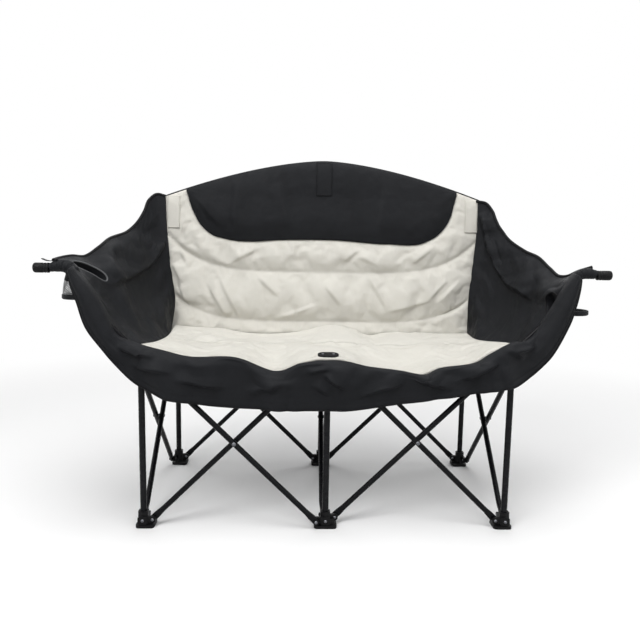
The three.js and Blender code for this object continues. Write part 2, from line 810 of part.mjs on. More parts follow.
function addCrossing(name, lower, upper, x, y, along) {
  const place = station(x, y, along === 'x' ? 0 : Math.PI / 2);
  const sign = along === 'x' ? 1 : -1;
  const planes = [sign * lower, sign * upper].sort((a, b) => a - b);
  const rivet = add(place, name, crossingRivet(...planes), 'steel');
  rivet.position.z = (footPivotZ + collarPivotZ) / 2;
  rivet.rotation.x = -Math.PI / 2;
}

const rowMid = pivotReach + braceSpan / 2;
const flat = braceEndHalf;
const sides = [{ name: 'left', sign: -1 }, { name: 'right', sign: 1 }];
const inward = { left: '+x', right: '-x' };
const outward = { left: '-x', right: '+x' };

// Front row: the left arm tube runs before the legs, the right one behind them
function addFrontCorner({ name, sign }) {
  const armPlane = sign * clearOfLeg;
  const sidePlane = sign * clearOfLeg;
  const place = station(sign * bay, 0);
  const footPivots = [
    { toward: inward[name], plane: 0, side: -1, half: flat },
    { toward: '+y', plane: sidePlane - sign * bracePitch, side: -sign, half: flat },
  ];
  const collarPivots = [
    { toward: inward[name], plane: armPlane, side: -sign, half: braceRadius },
    { toward: '+y', plane: sidePlane, side: -sign, half: flat },
  ];
  const bore = innerLegRadius + runningGap;
  add(place, `front_${name}_foot`, foot(footPivots), 'moulding');
  add(place, `front_${name}_outer_leg`, outerLeg(), 'tube');
  add(place, `front_${name}_inner_leg`, innerLeg(), 'tube');
  add(place, `front_${name}_collar`, collar(collarPivots, bore, collarLid), 'moulding');
  addBrace(`front_${name}_brace`, straightBrace(), sign * (bay - pivotReach), 0, inward[name]);
  addCrossing(`front_${name}_rivet`, 0, armPlane, sign * rowMid, 0, 'x');
}

function addArm({ name, sign }) {
  const place = station(sign * pivotReach, sign * clearOfLeg, towards[outward[name]][0]);
  add(place, `${name}_arm_tube`, armTube(), 'tube').position.z = footPivotZ;
  add(place, `${name}_arm_sleeve`, armSleeve(), 'blackCloth').position.z = footPivotZ;
  const cap = add(place, `${name}_handle_cap`, handleCap(), 'moulding');
  cap.position.set(handleEndX - pivotReach - capLength + capTipWall + runningGap, 0, handleZ);
}

function outerLeg() {
  return pipe(legRadius - legWall, legRadius, footFloor + runningGap, frontLegTopZ, legSides);
}

function innerLeg() {
  const top = collarTopZ - collarLid - runningGap;
  return pipe(innerLegRadius - legWall, innerLegRadius, innerLegBottomZ, top, legSides);
}

function rearPost(top) {
  return pipe(legRadius - legWall, legRadius, footFloor + runningGap, top, legSides);
}

function addFrontCenter() {
  const place = station(0, 0);
  const footPivots = [
    { toward: '-x', plane: -clearOfLeg, side: 1, half: flat },
    { toward: '+x', plane: clearOfLeg, side: -1, half: flat },
    { toward: '+y', plane: -bracePitch / 2, side: 1, half: flat },
  ];
  const hubPivots = [
    { toward: '-x', plane: 0, side: -1, half: flat },
    { toward: '+x', plane: 0, side: -1, half: flat },
    { toward: '+y', plane: bracePitch / 2, side: -1, half: flat },
  ];
  add(place, 'front_center_foot', foot(footPivots), 'moulding');
  add(place, 'front_center_outer_leg', outerLeg(), 'tube');
  add(place, 'front_center_inner_leg', innerLeg(), 'tube');
  add(place, 'front_center_hub', collar(hubPivots, innerLegRadius + runningGap, collarLid), 'moulding');
}

function addRearCenter() {
  const place = station(0, bay);
  const footPivots = [
    { toward: '-x', plane: -bracePitch / 2, side: 1, half: flat },
    { toward: '+x', plane: -bracePitch / 2, side: 1, half: flat },
    { toward: '-y', plane: bracePitch / 2, side: -1, half: flat },
  ];
  const collarPivots = [
    { toward: '-x', plane: bracePitch / 2, side: -1, half: flat },
    { toward: '+x', plane: bracePitch / 2, side: -1, half: flat },
    { toward: '-y', plane: -bracePitch / 2, side: 1, half: flat },
  ];
  add(place, 'rear_center_foot', foot(footPivots), 'moulding');
  add(place, 'rear_center_post', rearPost(centerPostTopZ), 'tube');
  add(place, 'rear_center_collar', collar(collarPivots, legRadius + runningGap), 'moulding');
  add(place, 'center_pole_pocket', polePocket(centerPostTopZ), 'blackCloth');
}

function addRearCorner({ name, sign }) {
  const sidePlane = sign * clearOfLeg;
  const place = station(sign * bay, bay);
  const footPivots = [
    { toward: inward[name], plane: bracePitch / 2, side: -1, half: flat },
    { toward: '-y', plane: sidePlane, side: -sign, half: flat },
  ];
  const collarPivots = [
    { toward: inward[name], plane: -bracePitch / 2, side: 1, half: flat },
    { toward: '-y', plane: sidePlane - sign * bracePitch, side: -sign, half: flat },
  ];
  add(place, `rear_${name}_foot`, foot(footPivots), 'moulding');
  add(place, `rear_${name}_post`, rearPost(sidePostTopZ), 'tube');
  add(place, `rear_${name}_collar`, collar(collarPivots, legRadius + runningGap), 'moulding');
  add(place, `${name}_pole_pocket`, polePocket(sidePostTopZ), 'paleCloth');
  const [innerY, outerY] = [bay + bracePitch / 2, bay - bracePitch / 2];
  addBrace(`rear_${name}_inner_brace`, straightBrace(), sign * (bay - pivotReach), innerY, inward[name]);
  addBrace(`rear_${name}_outer_brace`, straightBrace(), sign * pivotReach, outerY, outward[name]);
  addCrossing(`rear_${name}_rivet`, -bracePitch / 2, bracePitch / 2, sign * rowMid, bay, 'x');
}

function addSide({ name, sign }) {
  const outerX = sign * (bay + clearOfLeg);
  const innerX = outerX - sign * bracePitch;
  addBrace(`${name}_side_front_brace`, straightBrace(), innerX, pivotReach, '+y');
  addBrace(`${name}_side_rear_brace`, straightBrace(), outerX, bay - pivotReach, '-y');
  addCrossing(`${name}_side_rivet`, innerX - sign * bay, outerX - sign * bay, sign * bay, rowMid, 'y');
}

function addCenterBraces() {
  addBrace('center_front_brace', straightBrace(), -bracePitch / 2, pivotReach, '+y');
  addBrace('center_rear_brace', straightBrace(), bracePitch / 2, bay - pivotReach, '-y');
  addCrossing('center_rivet', -bracePitch / 2, bracePitch / 2, 0, rowMid, 'y');
}

function addSoftGoods() {
  const place = station(0, 0);
  add(place, 'seat_front', seatLeaf(seatLipY, seatFoldY - runningGap / 2), 'paleCloth');
  add(place, 'seat_rear', seatLeaf(seatFoldY + runningGap / 2, seatRearY), 'paleCloth');
  add(place, 'back_panel', backPanel(), 'paleCloth');
  add(place, 'front_apron', apron(), 'blackCloth');
  add(place, 'clamp_plate', clampPlate(), 'moulding').position.z = seatTop(0, 0) + runningGap;
  for (const { name, sign } of sides) {
    const flip = (geometry) => geometry.scale(sign, 1, 1);
    const armPlane = sign * clearOfLeg;
    add(place, `${name}_wing_front`, flip(wingFront(armPlane)), 'blackCloth');
    add(place, `${name}_wing_rear`, flip(wingRear(armPlane)), 'blackCloth');
    add(place, `${name}_cup_holder`, flip(cupHolder(armPlane)), 'mesh');
  }
}

addFrontCenter();
addRearCenter();
addCenterBraces();
for (const side of sides) {
  addFrontCorner(side);
  addArm(side);
  addRearCorner(side);
  addSide(side);
}
addSoftGoods();

export default loveseat;
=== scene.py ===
"""Folding camping loveseat: the cloth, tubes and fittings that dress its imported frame.

Everything is in metres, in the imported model's own axes: +X runs to the right as seen from the front,
+Y to the rear and +Z up. Depths are counted from the row of front legs.
"""

import logging
import math
from collections.abc import Callable, Sequence
from dataclasses import dataclass
from enum import Enum

import bmesh
import bpy
import numpy as np
from mathutils import Matrix, Vector


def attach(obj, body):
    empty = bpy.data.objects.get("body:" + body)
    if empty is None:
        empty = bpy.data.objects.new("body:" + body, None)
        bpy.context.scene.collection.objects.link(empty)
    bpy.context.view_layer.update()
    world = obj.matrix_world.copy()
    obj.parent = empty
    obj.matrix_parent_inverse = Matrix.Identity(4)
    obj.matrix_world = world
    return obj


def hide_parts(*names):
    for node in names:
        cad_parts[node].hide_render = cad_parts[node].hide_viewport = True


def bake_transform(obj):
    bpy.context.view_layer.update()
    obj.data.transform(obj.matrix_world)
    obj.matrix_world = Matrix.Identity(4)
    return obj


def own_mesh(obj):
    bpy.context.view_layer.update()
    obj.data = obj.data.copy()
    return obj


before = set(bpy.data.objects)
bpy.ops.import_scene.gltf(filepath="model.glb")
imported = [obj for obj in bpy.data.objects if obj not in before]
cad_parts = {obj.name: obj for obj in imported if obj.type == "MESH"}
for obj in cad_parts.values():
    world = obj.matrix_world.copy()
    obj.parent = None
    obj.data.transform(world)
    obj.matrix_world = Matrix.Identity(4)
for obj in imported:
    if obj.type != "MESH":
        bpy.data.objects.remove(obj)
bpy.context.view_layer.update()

LOG = logging.getLogger("loveseat")
Piece = bpy.types.Object
Socket = bpy.types.NodeSocket
Array = np.ndarray
Spot = tuple[float, float]
Point = Colour = tuple[float, float, float]
Line = tuple[Spot, ...]
Path = tuple[Point, ...]
Quads = tuple[tuple[float, float, float, float], ...]
Surface = Callable[[Array, Array], Array]

FRONT_ROW_Y = -0.218
BAY = 0.46  # from leg to leg, both across and front to back
PIVOT_REACH = 0.024  # from a leg's axis to the brace pivots beside it
FOOT_PIVOT_Z = 0.020
HANDLE_Z = 0.650
POST_Z = {"left": 0.850, "center": 0.955, "right": 0.850}
COLLAR_PIVOT_Z = 0.424
ARM_PLANE = 0.018  # depth of the right arm tube; the left one is as far before the legs
BRACE_RADIUS = 0.007
HALF_PITCH = BRACE_RADIUS + 0.001  # half of the distance between braces that cross
PIN_GAP = 0.0004
STITCH_LIFT = 0.0008
FOLDED_WIDTH = 0.32  # share of the cloth's width that is left when the frame is folded


class Slot(Enum):
    """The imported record's material slots."""

    TUBE = "frame_tube"
    MOULDING = "moulding"
    RIVET = "rivet"
    BLACK = "black_cloth"
    PALE = "pale_cloth"
    MESH = "cup_mesh"


class Side(Enum):
    """The two ends of the loveseat, with the sign of their X."""

    LEFT = -1
    RIGHT = 1

    @property
    def word(self) -> str:
        """The side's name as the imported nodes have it."""
        return self.name.lower()


class Heading(Enum):
    """The way a brace leans, as the X and Y of its run."""

    LEFT = (-1.0, 0.0)
    RIGHT = (1.0, 0.0)
    FRONT = (0.0, -1.0)
    REAR = (0.0, 1.0)


# Curves and numbers


def smoothstep(value: Array | float, low: float, high: float) -> Array:
    """Rise smoothly from 0 at low to 1 at high.

    Args:
        value: The numbers to map.
        low: Where the rise begins.
        high: Where the rise ends.

    Returns:
        The mapped numbers.
    """
    share = np.clip((np.asarray(value, float) - low) / (high - low), 0, 1)
    return share * share * (3 - 2 * share)


def through(places: Array, knots: Sequence[Spot]) -> Array:
    """Read a smooth curve through knots of place and value.

    Args:
        places: Where to read it.
        knots: The curve's points, in rising order of place.

    Returns:
        The values at those places.
    """
    xs, values = np.asarray(knots, float).T
    slopes = np.gradient(values, xs)
    places = np.clip(np.asarray(places, float), xs[0], xs[-1])
    i = np.clip(np.searchsorted(xs, places) - 1, 0, len(xs) - 2)
    span = xs[i + 1] - xs[i]
    t = (places - xs[i]) / span
    start = (1 + 2 * t) * (1 - t) ** 2 * values[i] + t * (1 - t) ** 2 * span * slopes[i]
    return start + t**2 * (3 - 2 * t) * values[i + 1] + t**2 * (t - 1) * span * slopes[i + 1]


def path_through(points: Sequence[Sequence[float]], shares: Array) -> Array:
    """Follow a smooth path through points in space.

    Args:
        points: The points on the path, in order.
        shares: Places on it, from 0 at the first point to 1 at the last one.

    Returns:
        One point for each share.
    """
    line = np.asarray(points, float)
    steps = np.linalg.norm(np.diff(line, axis=0), axis=1)
    marks = np.concatenate([[0.0], np.cumsum(steps)]) / steps.sum()
    columns = [through(shares, list(zip(marks, column))) for column in line.T]
    return np.stack(columns, axis=-1)


def rounded(turn: Array, power: Array | float) -> tuple[Array, Array]:
    """X and Y round a loop that is a circle at a power of 1 and squarer below it."""
    return tuple(np.sign(wave) * np.abs(wave) ** power for wave in (np.cos(turn), np.sin(turn)))


# Finishes


class Nodes:
    """A node tree that is filled node by node."""

    def __init__(self, tree: bpy.types.NodeTree) -> None:
        """Take the tree."""
        self.tree = tree

    def node(self, kind: str, inputs: dict[str, object] | None = None, **settings: object) -> bpy.types.Node:
        """Add a node.

        Args:
            kind: The node's type.
            inputs: Numbers, colours or other nodes' outputs, by the input's name.
            **settings: The node's own choices.

        Returns:
            The node.
        """
        made = self.tree.nodes.new(kind)
        for name, value in settings.items():
            setattr(made, name, value)
        for name, value in (inputs or {}).items():
            self.feed(made.inputs[name], value)
        return made

    def feed(self, socket: Socket, value: object) -> None:
        """Link an output to a socket, or set the socket's own value.

        Args:
            socket: The socket.
            value: The output, number, colour or name.
        """
        if isinstance(value, Socket):
            self.tree.links.new(value, socket)
        else:
            socket.default_value = value

    def calc(self, operation: str, *values: Socket) -> Socket:
        """Reckon with two numbers.

        Args:
            operation: What is done with them.
            *values: Their sockets.

        Returns:
            The result's socket.
        """
        made = self.node("ShaderNodeMath", operation=operation)
        for socket, value in zip(made.inputs, values):
            self.feed(socket, value)
        return made.outputs["Value"]


class Shader(Nodes):
    """One material's nodes, with a principled surface at their end."""

    def __init__(self, name: str) -> None:
        """Start an empty material.

        Args:
            name: The material's name.
        """
        self.material = bpy.data.materials.new(name)
        self.material.use_nodes = True
        super().__init__(self.material.node_tree)
        self.surface = self.tree.nodes["Principled BSDF"]

    def noise(self, place: Socket, scale: float, low: float, high: float) -> Socket:
        """Soft noise.

        Args:
            place: The coordinates it lies on.
            scale: How many blotches there are in a metre.
            low: Its value in the dark parts.
            high: Its value in the light parts.

        Returns:
            The number's socket.
        """
        cloud = self.node("ShaderNodeTexNoise", {"Vector": place, "Scale": scale, "Detail": 4.0})
        limits = {"Value": cloud.outputs["Fac"], "From Min": 0.3, "From Max": 0.7, "To Min": low, "To Max": high}
        return self.node("ShaderNodeMapRange", limits).outputs["Result"]

    def scaled(self, vector: Colour | Socket, factor: float | Socket) -> Socket:
        """Multiply a colour or a place by a number.

        Args:
            vector: The colour or place.
            factor: The number.

        Returns:
            The result's socket.
        """
        made = self.node("ShaderNodeVectorMath", {"Scale": factor}, operation="SCALE")
        self.feed(made.inputs[0], vector)
        return made.outputs["Vector"]

    def bump(self, height: Socket, depth: float, strength: float, below: Socket | None = None) -> Socket:
        """Raise the surface by a height.

        Args:
            height: The height's socket, from 0 to 1.
            depth: The height of 1 in metres.
            strength: How much of it shows.
            below: The normal of a bump under this one.

        Returns:
            The normal's socket.
        """
        inputs = {"Height": height, "Distance": depth, "Strength": strength}
        if below is not None:
            inputs["Normal"] = below
        return self.node("ShaderNodeBump", inputs).outputs["Normal"]

    def dress(self, **values: object) -> bpy.types.Material:
        """Set the surface's sockets, with underscores for spaces in their names."""
        for name, value in values.items():
            self.feed(self.surface.inputs[name.replace("_", " ")], value)
        return self.material


@dataclass(frozen=True)
class ClothFinish:
    """A plain-woven cloth, drawn on the cloth's own flat coordinates."""

    name: str
    colour: Colour
    slot: Slot
    roughness: float
    sheen: float
    mottle: float  # share by which the colour wanders
    crumple: float  # depth of the fine creases
    pitch: float = 0.0014  # from thread to thread

    def material(self) -> bpy.types.Material:
        """Make the material, or find the one made before."""
        if self.name in bpy.data.materials:
            return bpy.data.materials[self.name]
        shader = Shader(self.name)
        place = shader.node("ShaderNodeAttribute", attribute_name="cloth").outputs["Vector"]
        threads = shader.scaled(place, 1 / self.pitch)
        weave = shader.node("ShaderNodeMix", data_type="FLOAT")
        over = shader.node("ShaderNodeTexChecker", {"Vector": threads, "Scale": 1.0}).outputs["Fac"]
        shader.feed(weave.inputs["Factor"], over)
        for socket, direction in (("A", "X"), ("B", "Y")):
            wave = {"Vector": threads, "Scale": math.pi / 10}
            band = shader.node("ShaderNodeTexWave", wave, bands_direction=direction)
            shader.feed(weave.inputs[socket], band.outputs["Fac"])
        height = weave.outputs["Result"]
        blotch = shader.noise(place, 14.0, 1 - self.mottle, 1 + self.mottle)
        thread = shader.node("ShaderNodeMapRange", {"Value": height, "To Min": 0.9, "To Max": 1.06})
        factor = shader.calc("MULTIPLY", blotch, thread.outputs["Result"])
        creases = shader.bump(shader.noise(place, 38.0, 0.0, 1.0), self.crumple, 0.6)
        return shader.dress(
            Base_Color=shader.scaled(self.colour, factor),
            Roughness=shader.noise(place, 30.0, self.roughness - 0.06, self.roughness + 0.06),
            Normal=shader.bump(height, self.pitch / 5, 0.5, creases),
            Sheen_Weight=self.sheen,
            Sheen_Roughness=0.45,
            Specular_IOR_Level=0.09,
        )


@dataclass(frozen=True)
class HardFinish:
    """Painted, moulded or plated surface with a fine grain and rubbed edges."""

    name: str
    colour: Colour
    rubbed: Colour
    slot: Slot
    roughness: float
    metallic: float
    grain: float  # grains in a metre
    depth: float  # depth of the grain

    def material(self) -> bpy.types.Material:
        """Make the material, or find the one made before."""
        if self.name in bpy.data.materials:
            return bpy.data.materials[self.name]
        shader = Shader(self.name)
        place = shader.node("ShaderNodeTexCoord").outputs["Object"]
        edge = shader.node("ShaderNodeNewGeometry").outputs["Pointiness"]
        ridge = {"Value": edge, "From Min": 0.53, "From Max": 0.62, "To Max": 0.5}
        wear = shader.node("ShaderNodeMapRange", ridge).outputs["Result"]
        mix = shader.node("ShaderNodeMix", data_type="RGBA")
        sockets = {"A": self.colour, "B": self.rubbed}
        for socket in mix.inputs:
            if socket.type == "RGBA" and socket.name in sockets:
                socket.default_value = (*sockets[socket.name], 1.0)
        shader.feed(mix.inputs["Factor"], wear)
        mixed = next(socket for socket in mix.outputs if socket.type == "RGBA")
        return shader.dress(
            Base_Color=shader.scaled(mixed, shader.noise(place, 25.0, 0.85, 1.15)),
            Roughness=shader.noise(place, 60.0, self.roughness - 0.07, self.roughness + 0.07),
            Normal=shader.bump(shader.noise(place, self.grain, 0.0, 1.0), self.depth, 0.5),
            Metallic=self.metallic,
            Specular_IOR_Level=0.12,
        )


BLACK = ClothFinish("black_polyester", (0.0130, 0.0137, 0.0156), Slot.BLACK, 0.50, 0.0, 0.12, 0.0012)
PALE = ClothFinish("beige_polyester", (0.650, 0.633, 0.580), Slot.PALE, 0.78, 0.15, 0.025, 0.0011)
GREY_TAPE = ClothFinish("grey_tape", (0.13, 0.135, 0.14), Slot.MESH, 0.7, 0.1, 0.06, 0.0004)
POWDER = HardFinish("powder_coat", (0.003, 0.003, 0.004), (0.014, 0.014, 0.016), Slot.TUBE, 0.28, 0.0, 900.0, 0.00012)
NYLON = HardFinish("black_nylon", (0.006, 0.006, 0.0065), (0.02, 0.02, 0.02), Slot.MOULDING, 0.46, 0.0, 420.0, 0.00015)
STEEL = HardFinish("dull_steel", (0.15, 0.155, 0.17), (0.24, 0.24, 0.25), Slot.RIVET, 0.38, 1.0, 300.0, 0.00005)
NET = HardFinish("grey_netting", (0.42, 0.43, 0.44), (0.5, 0.5, 0.5), Slot.MESH, 0.6, 0.0, 700.0, 0.0001)
BLACK_THREAD = HardFinish(
    "black_thread", (0.007, 0.007, 0.008), (0.012, 0.012, 0.012), Slot.BLACK, 0.6, 0.0, 900.0, 0.0001
)
PALE_THREAD = HardFinish("beige_thread", (0.60, 0.58, 0.52), (0.65, 0.63, 0.57), Slot.PALE, 0.7, 0.0, 900.0, 0.0001)
Finish = ClothFinish | HardFinish


# Meshes


def new_object(
    name: str,
    points: Array,
    faces: Sequence[Sequence[int]],
    finishes: Sequence[Finish],
    edges: Sequence[Sequence[int]] = (),
) -> Piece:
    """Make a mesh object at the origin.

    Args:
        name: The piece's name.
        points: Its vertices.
        faces: Its faces, as rows of vertex numbers.
        finishes: The finishes of its material slots.
        edges: Loose edges, for a mesh that is only a path.

    Returns:
        The object, linked to the scene.
    """
    mesh = bpy.data.meshes.new(name)
    mesh.from_pydata(np.asarray(points, float).tolist(), [list(e) for e in edges], [list(f) for f in faces])
    mesh.validate()
    mesh.shade_smooth()
    for finish in finishes:
        mesh.materials.append(finish.material())
    made = bpy.data.objects.new(name, mesh)
    bpy.context.scene.collection.objects.link(made)
    return made


def store(piece: Piece, name: str, values: Array) -> None:
    """Store a vector for each vertex, such as its place on the flat cut."""
    kept = piece.data.attributes.new(name, "FLOAT_VECTOR", "POINT")
    kept.data.foreach_set("vector", np.asarray(values, np.float32).ravel())


def loft(rings: Array, closed_ends: bool = True) -> list[list[int]]:
    """Wall up a stack of rings.

    Args:
        rings: An array of rings of points.
        closed_ends: Whether the first and last rings get a lid; otherwise the last ring joins the first.

    Returns:
        The faces, for the rings' points in a row.
    """
    count, sides = rings.shape[:2]
    faces = []
    for r in range(count - 1 if closed_ends else count):
        low, high = r * sides, ((r + 1) % count) * sides
        for s in range(sides):
            t = (s + 1) % sides
            faces.append([low + s, low + t, high + t, high + s])
    if closed_ends:
        faces.append(list(range(sides))[::-1])
        faces.append([(count - 1) * sides + s for s in range(sides)])
    return faces


def turned(profile: Sequence[Spot], sides: int = 32, hollow: bool = False) -> tuple[Array, list]:
    """Turn a profile of radius and height about Z.

    Args:
        profile: The outline; a hollow piece's outline closes on itself.
        sides: How many flats the round has.
        hollow: Whether the outline is a closed loop rather than a solid's outer line.

    Returns:
        The points, one ring for each place of the profile, and the faces.
    """
    turn = np.linspace(0, 2 * math.pi, sides, endpoint=False)
    rings = np.array([[(r * math.cos(a), r * math.sin(a), z) for a in turn] for r, z in profile])
    return rings.reshape(-1, 3), loft(rings, closed_ends=not hollow)


def closed(name: str, points: Array, faces: Sequence[Sequence[int]], finish: Finish, crease: float = 0.0) -> Piece:
    """Make a closed piece whose faces all point outwards.

    Args:
        name: The piece's name.
        points: Its vertices.
        faces: Its faces, as rows of vertex numbers.
        finish: What it is made of.
        crease: Angle in degrees above which an edge is sharp; 0 leaves every edge smooth.

    Returns:
        The object, linked to the scene.
    """
    made = new_object(name, points, faces, [finish])
    shape = bmesh.new()
    shape.from_mesh(made.data)
    bmesh.ops.recalc_face_normals(shape, faces=shape.faces[:])
    shape.to_mesh(made.data)
    shape.free()
    if crease:
        made.data.set_sharp_from_angle(angle=math.radians(crease))
    return made


def cast(name: str, shape: bmesh.types.BMesh, finish: Finish, crease: float) -> Piece:
    """Make an object of a finished mesh.

    Args:
        name: The piece's name.
        shape: The mesh, which is used up.
        finish: What it is made of.
        crease: Angle in degrees above which an edge is sharp.

    Returns:
        The object, linked to the scene.
    """
    mesh = bpy.data.meshes.new(name)
    shape.to_mesh(mesh)
    shape.free()
    mesh.shade_smooth()
    mesh.set_sharp_from_angle(angle=math.radians(crease))
    mesh.materials.append(finish.material())
    made = bpy.data.objects.new(name, mesh)
    bpy.context.scene.collection.objects.link(made)
    return made


def softened(node: str, width: float, finish: Finish) -> Piece:
    """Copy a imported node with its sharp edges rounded.

    Args:
        node: The node's name.
        width: Width of the rounding.
        finish: What it is made of.

    Returns:
        The new object.
    """
    shape = bmesh.new()
    shape.from_mesh(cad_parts[node].data)
    bmesh.ops.remove_doubles(shape, verts=shape.verts[:], dist=1e-5)
    bmesh.ops.dissolve_limit(shape, angle_limit=math.radians(1), verts=shape.verts[:], edges=shape.edges[:])
    sharp = [e for e in shape.edges if e.is_manifold and e.calc_face_angle() > math.radians(34)]
    bmesh.ops.bevel(shape, geom=sharp, offset=width, segments=2, profile=0.5, affect="EDGES", clamp_overlap=True)
    bmesh.ops.triangulate(shape, faces=shape.faces[:])
    return cast(f"{node}_moulded", shape, finish, crease=32)


def mount(piece: Piece, body: str, finish: Finish, *nodes: str) -> None:
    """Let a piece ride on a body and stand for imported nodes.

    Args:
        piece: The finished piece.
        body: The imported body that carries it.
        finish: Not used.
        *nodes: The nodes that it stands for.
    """
    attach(piece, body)
    if nodes:
        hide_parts(*nodes)
    LOG.info("%s rides on %s", piece.name, body)


def gather(piece: Piece, body: str, finish: Finish, *nodes: str, keep: float = FOLDED_WIDTH) -> None:
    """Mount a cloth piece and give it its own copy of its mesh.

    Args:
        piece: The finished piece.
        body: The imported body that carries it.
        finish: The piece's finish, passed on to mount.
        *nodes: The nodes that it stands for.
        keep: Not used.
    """
    mount(piece, body, finish, *nodes)
    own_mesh(piece)


# Repeated and path-following detail


class Recipe(Nodes):
    """A geometry node tree whose sizes are named inputs."""

    def __init__(self, name: str, **sizes: float | int) -> None:
        """Start a tree.

        Args:
            name: The tree's name.
            **sizes: Its inputs, with their usual values.
        """
        super().__init__(bpy.data.node_groups.new(name, "GeometryNodeTree"))
        face = self.tree.interface
        face.new_socket("Geometry", in_out="OUTPUT", socket_type="NodeSocketGeometry")
        face.new_socket("Geometry", in_out="INPUT", socket_type="NodeSocketGeometry")
        for size, usual in sizes.items():
            kind = "NodeSocketInt" if isinstance(usual, int) else "NodeSocketFloat"
            face.new_socket(size, in_out="INPUT", socket_type=kind).default_value = usual
        face.new_socket("Material", in_out="INPUT", socket_type="NodeSocketMaterial")
        self.start = self.tree.nodes.new("NodeGroupInput")

    def feed(self, socket: Socket, value: object) -> None:
        """Feed a socket, where the name of one of the tree's own inputs stands for that input."""
        own = isinstance(value, str) and value in self.start.outputs
        super().feed(socket, self.start.outputs[value] if own else value)

    def add(self, kind: str, inputs: dict[str, object] | None = None, **settings: object) -> Socket:
        """Add a node and return its first shown output."""
        return next(socket for socket in self.node(kind, inputs, **settings).outputs if socket.enabled)

    def finish(self, geometry: Socket) -> "Recipe":
        """Make the result plain, smooth and coloured, and end the tree.

        Args:
            geometry: The result.

        Returns:
            The recipe.
        """
        plain = self.add("GeometryNodeRealizeInstances", {"Geometry": geometry})
        smooth = self.add("GeometryNodeSetShadeSmooth", {"Geometry": plain})
        coloured = self.add("GeometryNodeSetMaterial", {"Geometry": smooth, "Material": "Material"})
        self.tree.links.new(coloured, self.tree.nodes.new("NodeGroupOutput").inputs[0])
        return self

    def make(
        self,
        name: str,
        points: Array,
        finish: Finish,
        edges: Sequence[Sequence[int]] = (),
        axes: Array | None = None,
        **sizes: float | int,
    ) -> Piece:
        """Run the tree on a mesh and keep the result as a plain mesh.

        Args:
            name: The piece's name.
            points: The mesh's vertices.
            finish: What the result is made of.
            edges: The mesh's edges, for a path.
            axes: A direction for each vertex.
            **sizes: Values of the tree's inputs.

        Returns:
            The new object.
        """
        piece = new_object(name, points, [], [], edges)
        if axes is not None:
            store(piece, "axis", axes)
        modifier = piece.modifiers.new(name, "NODES")
        modifier.node_group = self.tree
        values = {**sizes, "Material": finish.material()}
        for item in self.tree.interface.items_tree:
            if item.in_out == "INPUT" and item.name in values:
                modifier[item.identifier] = values[item.name]
        bpy.context.view_layer.update()
        shown = piece.evaluated_get(bpy.context.evaluated_depsgraph_get())
        mesh = bpy.data.meshes.new_from_object(shown)
        piece.modifiers.clear()
        piece.data = mesh
        return piece


def stitch_recipe() -> Recipe:
    """Short threads along a path."""
    recipe = Recipe("stitches", Pitch=0.0062, Length=0.0046, Thickness=0.0011)
    curve = recipe.add("GeometryNodeMeshToCurve", {"Mesh": "Geometry"})
    spaced = recipe.add("GeometryNodeResampleCurve", {"Curve": curve, "Length": "Pitch"}, mode="LENGTH")
    along = recipe.add("GeometryNodeInputTangent")
    turn = recipe.add("FunctionNodeAlignRotationToVector", {"Vector": along}, axis="X")
    size = recipe.add("ShaderNodeCombineXYZ", {"X": "Length", "Y": "Thickness", "Z": "Thickness"})
    thread = recipe.add("GeometryNodeMeshUVSphere", {"Segments": 6, "Rings": 4, "Radius": 0.5})
    placed = {"Points": spaced, "Instance": thread, "Rotation": turn, "Scale": size}
    return recipe.finish(recipe.add("GeometryNodeInstanceOnPoints", placed))


def thread_recipe() -> Recipe:
    """A round cord along each path or mesh edge."""
    recipe = Recipe("cords", Radius=0.003, Sides=10)
    curve = recipe.add("GeometryNodeMeshToCurve", {"Mesh": "Geometry"})
    ring = recipe.add("GeometryNodeCurvePrimitiveCircle", {"Resolution": "Sides", "Radius": "Radius"})
    cord = {"Curve": curve, "Profile Curve": ring, "Fill Caps": True}
    return recipe.finish(recipe.add("GeometryNodeCurveToMesh", cord))


def head_recipe() -> Recipe:
    """Domed heads on washers, one on each point along its axis."""
    recipe = Recipe("rivet_heads", Radius=0.005, Height=0.0018)
    wide = recipe.add("ShaderNodeCombineXYZ", {"X": "Radius", "Y": "Radius", "Z": "Height"})
    dome = recipe.add("GeometryNodeMeshUVSphere", {"Segments": 20, "Rings": 10, "Radius": 0.82})
    washer = recipe.add("GeometryNodeMeshCylinder", {"Vertices": 24, "Radius": 1.0, "Depth": 0.5})
    join = recipe.tree.nodes.new("GeometryNodeJoinGeometry")
    for part in (dome, washer):
        recipe.tree.links.new(part, join.inputs[0])
    axis = recipe.add("GeometryNodeInputNamedAttribute", {"Name": "axis"}, data_type="FLOAT_VECTOR")
    turn = recipe.add("FunctionNodeAlignRotationToVector", {"Vector": axis}, axis="Z")
    placed = {"Points": "Geometry", "Instance": join.outputs[0], "Rotation": turn, "Scale": wide}
    return recipe.finish(recipe.add("GeometryNodeInstanceOnPoints", placed))


STITCHES = stitch_recipe()
CORDS = thread_recipe()
HEADS = head_recipe()


def chain(count: int, closed: bool = False) -> list[tuple[int, int]]:
    """Edges that join points in a row, or in a ring."""
    edges = [(i, i + 1) for i in range(count - 1)]
    return [*edges, (count - 1, 0)] if closed else edges


# Cloth


@dataclass(frozen=True)
class Settling:
    """How a sheet of cloth settles in the simulation."""

    spare: float  # extra cloth, as a share of its length
    weight: float = 0.0  # share of gravity
    pressure: float = 0.0
    bending: float = 0.6
    frames: int = 16
    limit: float = 0.012  # farthest that a point may move
    ironed: int = 0  # how often its smallest folds are ironed
    seed: int = 7


